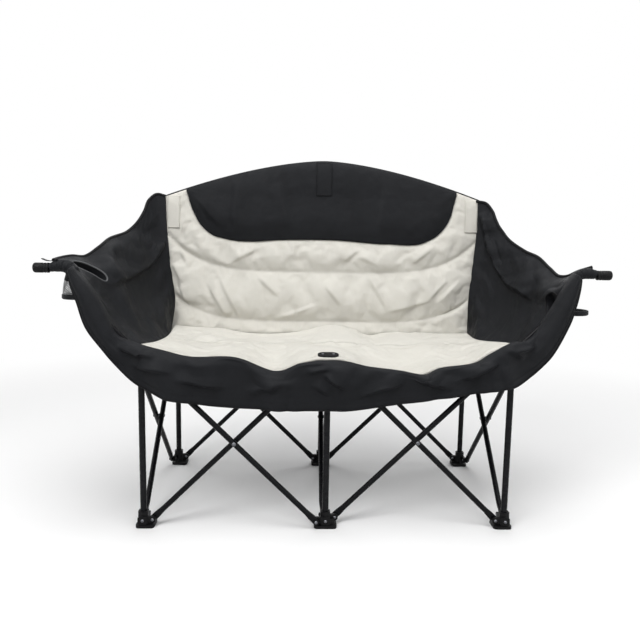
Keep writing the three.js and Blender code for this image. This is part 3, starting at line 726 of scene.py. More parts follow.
@dataclass
class Sheet:
    """A grid of points on cloth, with each point's place on the flat cut."""

    points: Array
    flat: Array

    @classmethod
    def drawn(cls, rows: int, columns: int, surface: Surface) -> "Sheet":
        """Sample a surface.

        Args:
            rows: Points up the sheet.
            columns: Points across it.
            surface: Maps shares across and up, from 0 to 1, to points.

        Returns:
            The sheet.
        """
        across, up = np.meshgrid(np.linspace(0, 1, columns), np.linspace(0, 1, rows))
        points = surface(across, up)
        wide = np.linalg.norm(np.diff(points, axis=1), axis=2).mean(axis=0)
        tall = np.linalg.norm(np.diff(points, axis=0), axis=2).mean(axis=1)
        width, height = (np.concatenate([[0.0], np.cumsum(part)]) for part in (wide, tall))
        return cls(points, np.stack(np.meshgrid(width, height), axis=-1))

    def sewn(self, coarse: "Sheet", held: Array, how: Settling) -> "Sheet":
        """The sheet with its cloth settled in broad folds.

        Args:
            coarse: The same sheet on a grid half as fine.
            held: How firmly each of the coarse points is held, from 0 to 1.
            how: The cloth's spare length, load and limits.

        Returns:
            The settled sheet.
        """
        moves = (coarse.settled(held, how).points - coarse.points) * (1 - held[..., None])
        moves = Sheet(moves, coarse.flat).smoothed(how.ironed).refined()
        return Sheet(self.points + moves.points, self.flat)

    @property
    def shares(self) -> tuple[Array, Array]:
        """Each point's shares across and up the sheet."""
        rows, columns = self.points.shape[:2]
        return tuple(np.meshgrid(np.linspace(0, 1, columns), np.linspace(0, 1, rows)))

    @property
    def normals(self) -> Array:
        """Unit normals, on the side from which the grid runs anticlockwise."""
        normal = np.cross(np.gradient(self.points, axis=1), np.gradient(self.points, axis=0))
        return normal / np.maximum(np.linalg.norm(normal, axis=2, keepdims=True), 1e-9)

    @property
    def cut(self) -> Spot:
        """Width and length of the flat cut."""
        return float(self.flat[..., 0].max()), float(self.flat[..., 1].max())

    def raised(self, height: Array | float) -> "Sheet":
        """The sheet moved along its normals."""
        lift = np.broadcast_to(np.asarray(height, float), self.points.shape[:2])
        return Sheet(self.points + self.normals * lift[..., None], self.flat)

    def pressed(self, folds: Sequence[Sequence[float]], width: float, height: float) -> "Sheet":
        """The sheet with folds pressed into it, each soft on its left and sharp on its right.

        Args:
            folds: The folds' lines, as X and Z of the start and of the end.
            width: How far a fold spreads on its soft side.
            height: How far it stands out along the normals.

        Returns:
            The folded sheet.
        """
        lift = np.zeros(self.points.shape[:2])
        for x1, z1, x2, z2 in folds:
            away = self.points[..., [0, 2]] - [x1, z1]
            run = np.array([x2 - x1, z2 - z1])
            along = away @ run / (run @ run)
            aside = away @ np.array([-run[1], run[0]]) / np.linalg.norm(run)
            ends = smoothstep(along, -0.15, 0.35) * smoothstep(along, 1.15, 0.65)
            lift += ends * np.where(aside > 0, np.exp(-aside / width), np.exp(-((8 * aside / width) ** 2)))
        return self.raised(height * lift)

    def smoothed(self, times: int) -> "Sheet":
        """The sheet with its smallest folds ironed out, between edges that stay.

        Args:
            times: How often.

        Returns:
            The ironed sheet.
        """
        points = self.points.copy()
        for _ in range(times):
            beside = points[:-2, 1:-1] + points[2:, 1:-1] + points[1:-1, :-2] + points[1:-1, 2:]
            points[1:-1, 1:-1] = points[1:-1, 1:-1] / 2 + beside / 8
        return Sheet(points, self.flat)

    def refined(self) -> "Sheet":
        """The sheet on a grid twice as fine, with the same smooth shape."""
        whole = np.concatenate([self.points, self.flat], axis=2)
        for axis in (0, 1):
            line = np.moveaxis(whole, axis, 0)
            ends = np.concatenate([2 * line[:1] - line[1:2], line, 2 * line[-1:] - line[-2:-1]])
            middle = (9 * (ends[1:-2] + ends[2:-1]) - ends[:-3] - ends[3:]) / 16
            finer = np.empty((2 * len(line) - 1, *line.shape[1:]))
            finer[::2], finer[1::2] = line, middle
            whole = np.moveaxis(finer, 0, axis)
        return Sheet(whole[..., :3], whole[..., 3:])

    def at(self, across: Array, up: Array, lift: float = 0.0) -> Array:
        """Points on the sheet.

        Args:
            across: Shares across, from 0 to 1.
            up: Shares up.
            lift: Distance along the normal.

        Returns:
            One point for each pair of shares.
        """
        grid = self.points + self.normals * lift
        rows, columns = grid.shape[:2]
        x, y = np.clip(across, 0, 1) * (columns - 1), np.clip(up, 0, 1) * (rows - 1)
        i, j = np.minimum(y.astype(int), rows - 2), np.minimum(x.astype(int), columns - 2)
        fy, fx = (y - i)[..., None], (x - j)[..., None]
        low = grid[i, j] * (1 - fx) + grid[i, j + 1] * fx
        high = grid[i + 1, j] * (1 - fx) + grid[i + 1, j + 1] * fx
        return low * (1 - fy) + high * fy

    def settled(self, pins: Array, how: Settling) -> "Sheet":
        """Let the cloth settle between its pinned places.

        Args:
            pins: How firmly each point is held, from 0 to 1.
            how: The cloth's spare length, load and limits.
        """
        start = self.raised(np.random.default_rng(how.seed).normal(0, 0.0006, pins.shape) * (1 - pins))
        piece = new_object("settling", start.points.reshape(-1, 3), grid_faces(*pins.shape), [])
        group = piece.vertex_groups.new(name="pins")
        for index, weight in enumerate(pins.ravel().tolist()):
            if weight > 0:
                group.add([index], weight, "REPLACE")
        modifier = piece.modifiers.new("cloth", "CLOTH")
        rules = modifier.settings
        for name, value in {
            "quality": 6, "mass": 0.05, "tension_stiffness": 25, "compression_stiffness": 25, "shear_stiffness": 8,
            "bending_stiffness": how.bending, "air_damping": 2.0, "vertex_group_mass": "pins",
            "shrink_min": -how.spare, "use_pressure": how.pressure > 0, "uniform_pressure_force": how.pressure,
        }.items():
            setattr(rules, name, value)
        rules.effector_weights.gravity = how.weight
        modifier.collision_settings.use_collision = False
        modifier.point_cache.frame_end = how.frames
        scene = bpy.context.scene
        for number in range(1, how.frames + 1):
            scene.frame_set(number)
        shown = piece.evaluated_get(bpy.context.evaluated_depsgraph_get())
        result = np.empty(len(piece.data.vertices) * 3, np.float32)
        shown.data.vertices.foreach_get("co", result)
        scene.frame_set(1)
        mesh = piece.data
        bpy.data.objects.remove(piece)
        bpy.data.meshes.remove(mesh)
        move = result.reshape(self.points.shape) - self.points
        far = np.linalg.norm(move, axis=2, keepdims=True)
        move *= how.limit * np.tanh(far / how.limit) / np.maximum(far, 1e-9)
        LOG.info("cloth moved %.1f mm on average", 1000 * float(far.mean()))
        return Sheet(self.points + move, self.flat)

    def between(self, name: str, rear: Array, finishes: Sequence[Finish], keep: Array | None = None) -> Piece:
        """Close the space between this sheet and the one behind it.

        Args:
            name: The piece's name.
            rear: The rear sheet's points.
            finishes: The finish of the front, and of the rear if it differs.
            keep: Which cells of the grid are there.

        Returns:
            The piece.
        """
        rows, columns = self.points.shape[:2]
        cells = np.asarray(grid_faces(rows, columns))
        if keep is not None:
            cells = cells[keep.ravel()]
        count = rows * columns
        sides = np.concatenate([np.stack([cells[:, k], cells[:, (k + 1) % 4]], axis=1) for k in range(4)])
        codes = sides[:, 0] * count + sides[:, 1]
        rim = sides[~np.isin(codes, sides[:, 1] * count + sides[:, 0])]
        walls = np.stack([rim[:, 1], rim[:, 0], rim[:, 0] + count, rim[:, 1] + count], axis=1)
        faces = np.concatenate([cells, walls, cells[:, ::-1] + count])
        used, faces = np.unique(faces, return_inverse=True)
        points = np.concatenate([self.points.reshape(-1, 3), np.asarray(rear).reshape(-1, 3)])[used]
        piece = new_object(name, points, faces.reshape(-1, 4), finishes)
        if len(finishes) > 1:
            slots = np.zeros(len(faces.reshape(-1, 4)), np.int32)
            slots[-len(cells):] = 1
            piece.data.polygons.foreach_set("material_index", slots)
        flat = np.tile(self.flat.reshape(-1, 2), (2, 1))[used]
        store(piece, "cloth", np.concatenate([flat, np.zeros((len(flat), 1))], axis=1))
        return piece

    def shell(self, name: str, thickness: float, finish: Finish, keep: Array | None = None) -> Piece:
        """Give the sheet its thickness, behind its face."""
        return self.between(name, self.points - self.normals * thickness, [finish], keep)


def grid_faces(rows: int, columns: int) -> list[tuple[int, int, int, int]]:
    """The cells of a grid of points.

    Args:
        rows: Points up the grid.
        columns: Points across it.

    Returns:
        Rows of four vertex numbers.
    """
    corner = np.arange(rows * columns).reshape(rows, columns)
    cells = [corner[:-1, :-1], corner[:-1, 1:], corner[1:, 1:], corner[1:, :-1]]
    return np.stack(cells, axis=-1).reshape(-1, 4).tolist()


# Rigid pieces


def leg_places() -> dict[str, Spot]:
    """Where the six legs stand, by the name that their nodes share."""
    rows = {"front": FRONT_ROW_Y, "rear": FRONT_ROW_Y + BAY}
    columns = {"left": -BAY, "center": 0.0, "right": BAY}
    return {f"{row}_{column}": (x, y) for row, y in rows.items() for column, x in columns.items()}


@dataclass
class TubeFrame:
    """The legs, posts, crossing braces and arm tubes."""

    leg_radius: float = 0.0080
    inner_radius: float = 0.0064
    wall: float = 0.0013
    lip: float = 0.0006
    foot_z: float = 0.0074
    leg_top_z: float = 0.380
    inner_bottom_z: float = 0.150
    inner_top_z: float = 0.4291
    bush_radius: float = 0.0098
    bush_drop: float = 0.014
    bush_rise: float = 0.008
    arm_straight: float = 0.772
    handle_start_x: float = 0.640
    handle_end_x: float = 0.690
    arm_pull: float = 0.060
    handle_pull: float = 0.045
    sides: int = 28
    # A flattened end: distance from the pin, half thickness, half width and flatness
    end: Quads = (
        (-0.0085, 0.0034, 0.0022, 1.0), (-0.0078, 0.0043, 0.0046, 1.0), (-0.0060, 0.0045, 0.0064, 1.0),
        (-0.0030, 0.0045, 0.0081, 1.0), (0.0, 0.0045, 0.0085, 1.0), (0.0140, 0.0045, 0.0085, 1.0),
        (0.0200, 0.0052, 0.0082, 0.6), (0.0270, 0.0063, 0.0075, 0.25), (0.0340, 0.0070, 0.0070, 0.0),
    )

    @property
    def span(self) -> Spot:
        """Run and rise of a brace from pin to pin."""
        return BAY - 2 * PIVOT_REACH, COLLAR_PIVOT_Z - FOOT_PIVOT_Z

    def bend(self, shares: Array) -> Array:
        """Run and rise along the bend from an arm tube's slope to its handle.

        Args:
            shares: Places on the bend, from 0 to 1.

        Returns:
            One row for each place.
        """
        run, rise = self.span
        slope = np.array([run, rise]) / math.hypot(run, rise)
        handle = np.array([self.handle_start_x - PIVOT_REACH, HANDLE_Z - FOOT_PIVOT_Z])
        start = slope * self.arm_straight
        pulls = [start, start + slope * self.arm_pull, handle - [self.handle_pull, 0.0], handle]
        t = np.asarray(shares)[:, None]
        weights = [(1 - t) ** 3, 3 * t * (1 - t) ** 2, 3 * t**2 * (1 - t), t**3]
        return sum(weight * pull for weight, pull in zip(weights, pulls))

    def brace_line(self) -> Array:
        """Rows of run, rise, half thickness, half width and flatness along a straight brace."""
        run, rise = self.span
        length = math.hypot(run, rise)
        ends = np.asarray(self.end)
        rows = np.concatenate([ends, np.concatenate([length - ends[::-1, :1], ends[::-1, 1:]], axis=1)])
        return np.column_stack([rows[:, 0] * run / length, rows[:, 0] * rise / length, rows[:, 1:]])

    def arm_line(self) -> Array:
        """The same rows along an arm tube and its handle."""
        straight = self.brace_line()[: len(self.end)]
        bend = self.bend(np.linspace(0, 1, 22))
        end = np.array([[self.handle_end_x - PIVOT_REACH, HANDLE_Z - FOOT_PIVOT_Z]])
        middle = np.concatenate([bend, end])
        round_rows = np.tile([BRACE_RADIUS, BRACE_RADIUS, 0.0], (len(middle), 1))
        return np.concatenate([straight, np.column_stack([middle, round_rows])])

    def swept(self, line: Array, origin: Spot, heading: Heading) -> Array:
        """Rings of points along a tube.

        Args:
            line: Rows of run, rise, half thickness, half width and flatness.
            origin: X and Y of the tube's foot pin.
            heading: The way that it leans.

        Returns:
            The rings.
        """
        run, rise, half, width, flat = line.T
        angle = np.arctan2(np.gradient(rise), np.gradient(run))[:, None]
        turn = np.linspace(0, 2 * math.pi, self.sides, endpoint=False)[None, :]
        power = 2 / (2 + 2 * flat[:, None])
        cos, sin = rounded(turn, power)
        across, pin = width[:, None] * sin, half[:, None] * cos
        ahead = run[:, None] - across * np.sin(angle)
        up = rise[:, None] + across * np.cos(angle) + FOOT_PIVOT_Z
        hx, hy = heading.value
        return np.stack([origin[0] + ahead * hx - pin * hy, origin[1] + ahead * hy + pin * hx, up], axis=-1)

    def tube(self, node: str, body: str, line: Array, origin: Spot, heading: Heading) -> None:
        """Build one brace or arm tube in place of its node."""
        rings = self.swept(line, origin, heading)
        mount(closed(f"{node}_drawn", rings.reshape(-1, 3), loft(rings), POWDER, crease=50), body, POWDER, node)

    def pipe(self, node: str, body: str, place: Spot, radius: float, low: float, high: float) -> None:
        """Build one upright tube in place of its node.

        Args:
            node: The node.
            body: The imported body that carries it.
            place: X and Y of its axis.
            radius: Its radius.
            low: Height of its foot.
            high: Height of its top.
        """
        inside = radius - self.wall
        profile = [(inside, low), (radius, low), (radius, high - self.lip), (radius - self.lip, high), (inside, high)]
        points, faces = turned(profile, self.sides, hollow=True)
        mount(closed(f"{node}_drawn", points + [*place, 0.0], faces, POWDER, crease=40), body, POWDER, node)

    def bush(self, name: str, body: str, place: Spot) -> None:
        """Build the guide on a telescoping leg's top.

        Args:
            name: The leg's name.
            body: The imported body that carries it.
            place: X and Y of the leg.
        """
        inside, outside = self.inner_radius + PIN_GAP, self.leg_radius + PIN_GAP / 2
        low, rim, high = self.leg_top_z - self.bush_drop, self.leg_top_z + PIN_GAP, self.leg_top_z + self.bush_rise
        edge = self.bush_radius - self.lip
        profile = [
            (outside, low), (edge, low), (self.bush_radius, low + self.lip), (self.bush_radius, high - 2 * self.lip),
            (edge - self.lip, high), (inside, high), (inside, rim), (outside, rim),
        ]
        points, faces = turned(profile, self.sides, hollow=True)
        mount(closed(f"{name}_bush", points + [*place, 0.0], faces, NYLON, crease=40), body, NYLON)

    def build_legs(self) -> None:
        """Build the front legs and rear posts."""
        for name, place in leg_places().items():
            if name.startswith("rear"):
                top = POST_Z[name.removeprefix("rear_")]
                self.pipe(f"{name}_post", f"{name}_post", place, self.leg_radius, self.foot_z, top)
                continue
            slider = "hub" if name == "front_center" else f"{name}_collar"
            self.pipe(f"{name}_outer_leg", f"{name}_leg", place, self.leg_radius, self.foot_z, self.leg_top_z)
            self.pipe(f"{name}_inner_leg", slider, place, self.inner_radius, self.inner_bottom_z, self.inner_top_z)
            self.bush(name, f"{name}_leg", place)

    def build_braces(self) -> None:
        """Build the crossing braces and the arm tubes."""
        straight, arm = self.brace_line(), self.arm_line()
        rear = FRONT_ROW_Y + BAY
        first, last = FRONT_ROW_Y + PIVOT_REACH, rear - PIVOT_REACH
        for side in Side:
            sign, word = side.value, side.word
            out, into = (Heading.LEFT, Heading.RIGHT) if sign < 0 else (Heading.RIGHT, Heading.LEFT)
            near, far = sign * PIVOT_REACH, sign * (BAY - PIVOT_REACH)
            self.tube(f"front_{word}_brace", f"front_{word}_brace", straight, (far, FRONT_ROW_Y), into)
            self.tube(f"{word}_arm_tube", f"{word}_arm", arm, (near, FRONT_ROW_Y + sign * ARM_PLANE), out)
            outer_x = sign * (BAY + ARM_PLANE)
            inner_x = outer_x - sign * 2 * HALF_PITCH
            for name, x, y, way in (
                (f"{word}_side_front_brace", inner_x, first, Heading.REAR),
                (f"{word}_side_rear_brace", outer_x, last, Heading.FRONT),
                (f"rear_{word}_inner_brace", far, rear + HALF_PITCH, into),
                (f"rear_{word}_outer_brace", near, rear - HALF_PITCH, out),
            ):
                self.tube(name, name, straight, (x, y), way)
        for name, x, y, way in (
            ("center_front_brace", -HALF_PITCH, first, Heading.REAR),
            ("center_rear_brace", HALF_PITCH, last, Heading.FRONT),
        ):
            self.tube(name, name, straight, (x, y), way)

    def build(self) -> None:
        """Build every tube."""
        self.build_legs()
        self.build_braces()


@dataclass(frozen=True)
class Pivot:
    """A pin through a lug: where it looks, its brace's plane along the pin, and the lug's side."""

    heading: Heading
    plane: float
    side: int
    half: float = 0.0045


@dataclass
class Mouldings:
    """Feet, collars and hub with their pins, the handle caps and the clamp plate."""

    rounding: float = 0.0011
    lug_thickness: float = 0.0075
    head_thickness: float = 0.0025
    # Radius and height of the heads of pins, rivets and screws
    pin_head: Spot = (0.0040, 0.0019)
    rivet_head: Spot = (0.0050, 0.0024)
    screw_head: Spot = (0.0032, 0.001)
    plate_size: Point = (0.024, 0.004, 0.021)
    plate_y: float = -0.0148
    plate_z: float = 0.019
    cap_start_x: float = 0.6654
    cap_radius: float = 0.012
    cap_length: float = 0.038
    cap_bore: float = 0.0072
    cap_ribs: int = 2
    rib_pitch: float = 0.006
    clamp_half: Spot = (0.0262, 0.0125)
    clamp_z: float = 0.4436
    clamp_slope: float = 0.25
    clamp_power: float = 2 / 2.8
    clamp_screw_x: float = 0.0135
    # The clamp plate's rings from its rim in to its middle: share of its size, and height
    clamp_rings: Line = (
        (0.97, 0.0), (1.0, 0.0008), (1.0, 0.0022), (0.95, 0.0032), (0.83, 0.0036), (0.80, 0.0028),
        (0.62, 0.0028), (0.59, 0.0035), (0.25, 0.0039), (0.06, 0.0039),
    )

    def pivots(self, leg: str) -> tuple[list[Pivot], list[Pivot]]:
        """The pins of a leg's foot and of its collar or hub.

        Args:
            leg: The leg's name.

        Returns:
            The pins of the two mouldings.
        """
        row, column = leg.split("_")
        half = HALF_PITCH
        left, right, ahead, behind = Heading.LEFT, Heading.RIGHT, Heading.FRONT, Heading.REAR
        if leg == "front_center":
            foot = [Pivot(left, -ARM_PLANE, 1), Pivot(right, ARM_PLANE, -1), Pivot(behind, -half, 1)]
            return foot, [Pivot(left, 0.0, -1), Pivot(right, 0.0, -1), Pivot(behind, half, -1)]
        if leg == "rear_center":
            foot = [Pivot(left, -half, 1), Pivot(right, -half, 1), Pivot(ahead, half, -1)]
            return foot, [Pivot(left, half, -1), Pivot(right, half, -1), Pivot(ahead, -half, 1)]
        sign, into = (-1, right) if column == "left" else (1, left)
        near, far = sign * (ARM_PLANE - 2 * half), sign * ARM_PLANE
        if row == "front":
            collar = [Pivot(into, far, -sign, BRACE_RADIUS), Pivot(behind, far, -sign)]
            return [Pivot(into, 0.0, -1), Pivot(behind, near, -sign)], collar
        return [Pivot(into, half, -1), Pivot(ahead, far, -sign)], [Pivot(into, -half, 1), Pivot(ahead, near, -sign)]

    def studs(self, name: str, body: str, points: Sequence, axes: Sequence, size: Spot, *nodes: str) -> None:
        """Build domed heads.

        Args:
            name: The piece's name.
            body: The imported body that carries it.
            points: Where the heads are.
            axes: The way that each one looks.
            size: Their radius and height.
            *nodes: The nodes that they stand for.
        """
        sizes = dict(zip(("Radius", "Height"), size))
        piece = HEADS.make(name, np.array(points), STEEL, axes=np.array(axes), **sizes)
        mount(piece, body, STEEL, *nodes)

    def heads(self, name: str, body: str, place: Spot, z: float, pivots: Sequence[Pivot]) -> None:
        """Put a head on both ends of every pin of a moulding.

        Args:
            name: The moulding's name.
            body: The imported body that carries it.
            place: X and Y of its leg.
            z: Height of its pins.
            pivots: The pins.
        """
        points, axes = [], []
        for pivot in pivots:
            hx, hy = pivot.heading.value
            pin = np.array([abs(hy), abs(hx), 0.0])
            middle = np.array([place[0] + hx * PIVOT_REACH, place[1] + hy * PIVOT_REACH, z]) + pin * pivot.plane
            reach = pivot.half + PIN_GAP
            for side, out in ((pivot.side, self.lug_thickness), (-pivot.side, self.head_thickness)):
                points.append(middle + pin * side * (reach + out))
                axes.append(pin * side)
        self.studs(f"{name}_pin_heads", body, points, axes, self.pin_head)

    def foot_plate(self, name: str, body: str, place: Spot) -> None:
        """Build the screwed plate on the face of a front foot.

        Args:
            name: The foot's name.
            body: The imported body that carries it.
            place: X and Y of its leg.
        """
        shape = bmesh.new()
        bmesh.ops.create_cube(shape, size=1.0, matrix=Matrix.Diagonal((*self.plate_size, 1.0)))
        upright = [e for e in shape.edges if abs((e.verts[0].co - e.verts[1].co).y) > 1e-4]
        bmesh.ops.bevel(shape, geom=upright, offset=0.005, segments=4, profile=0.5, affect="EDGES")
        rim = [e for e in shape.edges if e.calc_face_angle() > math.radians(50)]
        bmesh.ops.bevel(shape, geom=rim, offset=0.0008, segments=2, profile=0.5, affect="EDGES")
        middle = Vector((place[0], place[1] + self.plate_y, self.plate_z))
        bmesh.ops.translate(shape, vec=middle, verts=shape.verts[:])
        mount(cast(f"{name}_plate", shape, NYLON, crease=35), body, NYLON)
        front = (middle.x, middle.y - self.plate_size[1] / 2, middle.z)
        self.studs(f"{name}_plate_screw", body, [front], [(0.0, -1.0, 0.0)], self.pin_head)

    def build_joints(self) -> None:
        """Build the feet, collars and hub."""
        for leg, place in leg_places().items():
            front = leg.startswith("front")
            foot_body = f"{leg}_leg" if front else f"{leg}_post"
            top = "front_center_hub" if leg == "front_center" else f"{leg}_collar"
            top_body = "hub" if leg == "front_center" else top
            low, high = self.pivots(leg)
            for node, body, z, pins in (
                (f"{leg}_foot", foot_body, FOOT_PIVOT_Z, low), (top, top_body, COLLAR_PIVOT_Z, high),
            ):
                mount(softened(node, self.rounding, NYLON), body, NYLON, node)
                self.heads(node, body, place, z, pins)
            if front:
                self.foot_plate(f"{leg}_foot", foot_body, place)

    def build_rivets(self) -> None:
        """Build the rivets at the crossings of the braces."""
        middle, across = BAY / 2, (-HALF_PITCH, HALF_PITCH)
        z = (FOOT_PIVOT_Z + COLLAR_PIVOT_Z) / 2
        front, rear, side_y = FRONT_ROW_Y, FRONT_ROW_Y + BAY, FRONT_ROW_Y + middle
        rows = [("center_rivet", "center_front_brace", (0.0, side_y), (1, 0), across)]
        for side in Side:
            sign, word = side.value, side.word
            near, far = sign * (ARM_PLANE - 2 * HALF_PITCH), sign * ARM_PLANE
            rows += [
                (f"front_{word}_rivet", f"{word}_arm", (sign * middle, front), (0, 1), (0.0, far)),
                (f"rear_{word}_rivet", f"rear_{word}_outer_brace", (sign * middle, rear), (0, 1), across),
                (f"{word}_side_rivet", f"{word}_side_front_brace", (sign * BAY, side_y), (1, 0), (near, far)),
            ]
        for node, body, (x, y), pin, planes in rows:
            axis = np.array([*pin, 0.0])
            ends = [(min(planes) - BRACE_RADIUS, -1), (max(planes) + BRACE_RADIUS, 1), (sum(planes) / 2, 1)]
            points = [np.array([x, y, z]) + axis * plane for plane, _ in ends]
            self.studs(f"{node}_set", body, points, [axis * way for _, way in ends], self.rivet_head, node)

    def build_caps(self) -> None:
        """Build the ribbed caps on the ends of the handles."""
        bore, radius, tip = self.cap_bore, self.cap_radius, self.cap_length
        profile = [(bore, 0.0), (radius - 0.0015, 0.0), (radius, 0.0015)]
        for k in range(self.cap_ribs):
            start = 0.005 + k * self.rib_pitch
            profile += [(radius, start), (radius - 0.0012, start + 0.0012)]
            profile += [(radius - 0.0012, start + 0.0028), (radius, start + 0.004)]
        profile += [
            (radius, tip - 0.005), (radius - 0.001, tip - 0.0022),
            (radius - 0.0038, tip - 0.0004), (0.0015, tip),
        ]
        for side in Side:
            points, faces = turned(profile, 36)
            points = np.column_stack([points[:, 2] + self.cap_start_x, points[:, 1], points[:, 0] + HANDLE_Z])
            points *= [side.value, 1.0, 1.0]
            points[:, 1] += FRONT_ROW_Y + side.value * ARM_PLANE
            piece = closed(f"{side.word}_handle_cap_ribbed", points, faces, NYLON, crease=50)
            mount(piece, f"{side.word}_arm", NYLON, f"{side.word}_handle_cap")

    def build_clamp(self) -> None:
        """Build the plate that clamps the seat to the hub."""
        turn = np.linspace(0, 2 * math.pi, 72, endpoint=False)
        x, y = (wave * half for wave, half in zip(rounded(turn, self.clamp_power), self.clamp_half))
        rings = np.array([
            np.column_stack([share * x, share * y + FRONT_ROW_Y, self.clamp_z + height + self.clamp_slope * share * y])
            for share, height in self.clamp_rings
        ])
        piece = closed("clamp_plate_moulded", rings.reshape(-1, 3), loft(rings), NYLON, crease=40)
        mount(piece, "hub", NYLON, "clamp_plate")
        top = self.clamp_z + self.clamp_rings[-1][1]
        points = [(sign * self.clamp_screw_x, FRONT_ROW_Y, top) for sign in (-1, 1)]
        self.studs("clamp_plate_screws", "hub", points, [(0.0, -self.clamp_slope, 1.0)] * 2, self.screw_head)

    def build(self) -> None:
        """Build every moulding and its fasteners."""
        self.build_joints()
        self.build_rivets()
        self.build_caps()
        self.build_clamp()


# Soft goods


def stitch(name: str, lines: Sequence[Array], finish: Finish, body: str, keep: float = FOLDED_WIDTH) -> None:
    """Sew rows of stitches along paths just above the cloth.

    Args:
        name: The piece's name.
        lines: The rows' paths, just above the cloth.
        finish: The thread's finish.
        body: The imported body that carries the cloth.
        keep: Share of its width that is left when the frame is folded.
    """
    edges, start = [], 0
    for line in lines:
        edges += [(a + start, b + start) for a, b in chain(len(line))]
        start += len(line)
    gather(STITCHES.make(name, np.concatenate(lines), finish, edges=edges), body, finish, keep=keep)


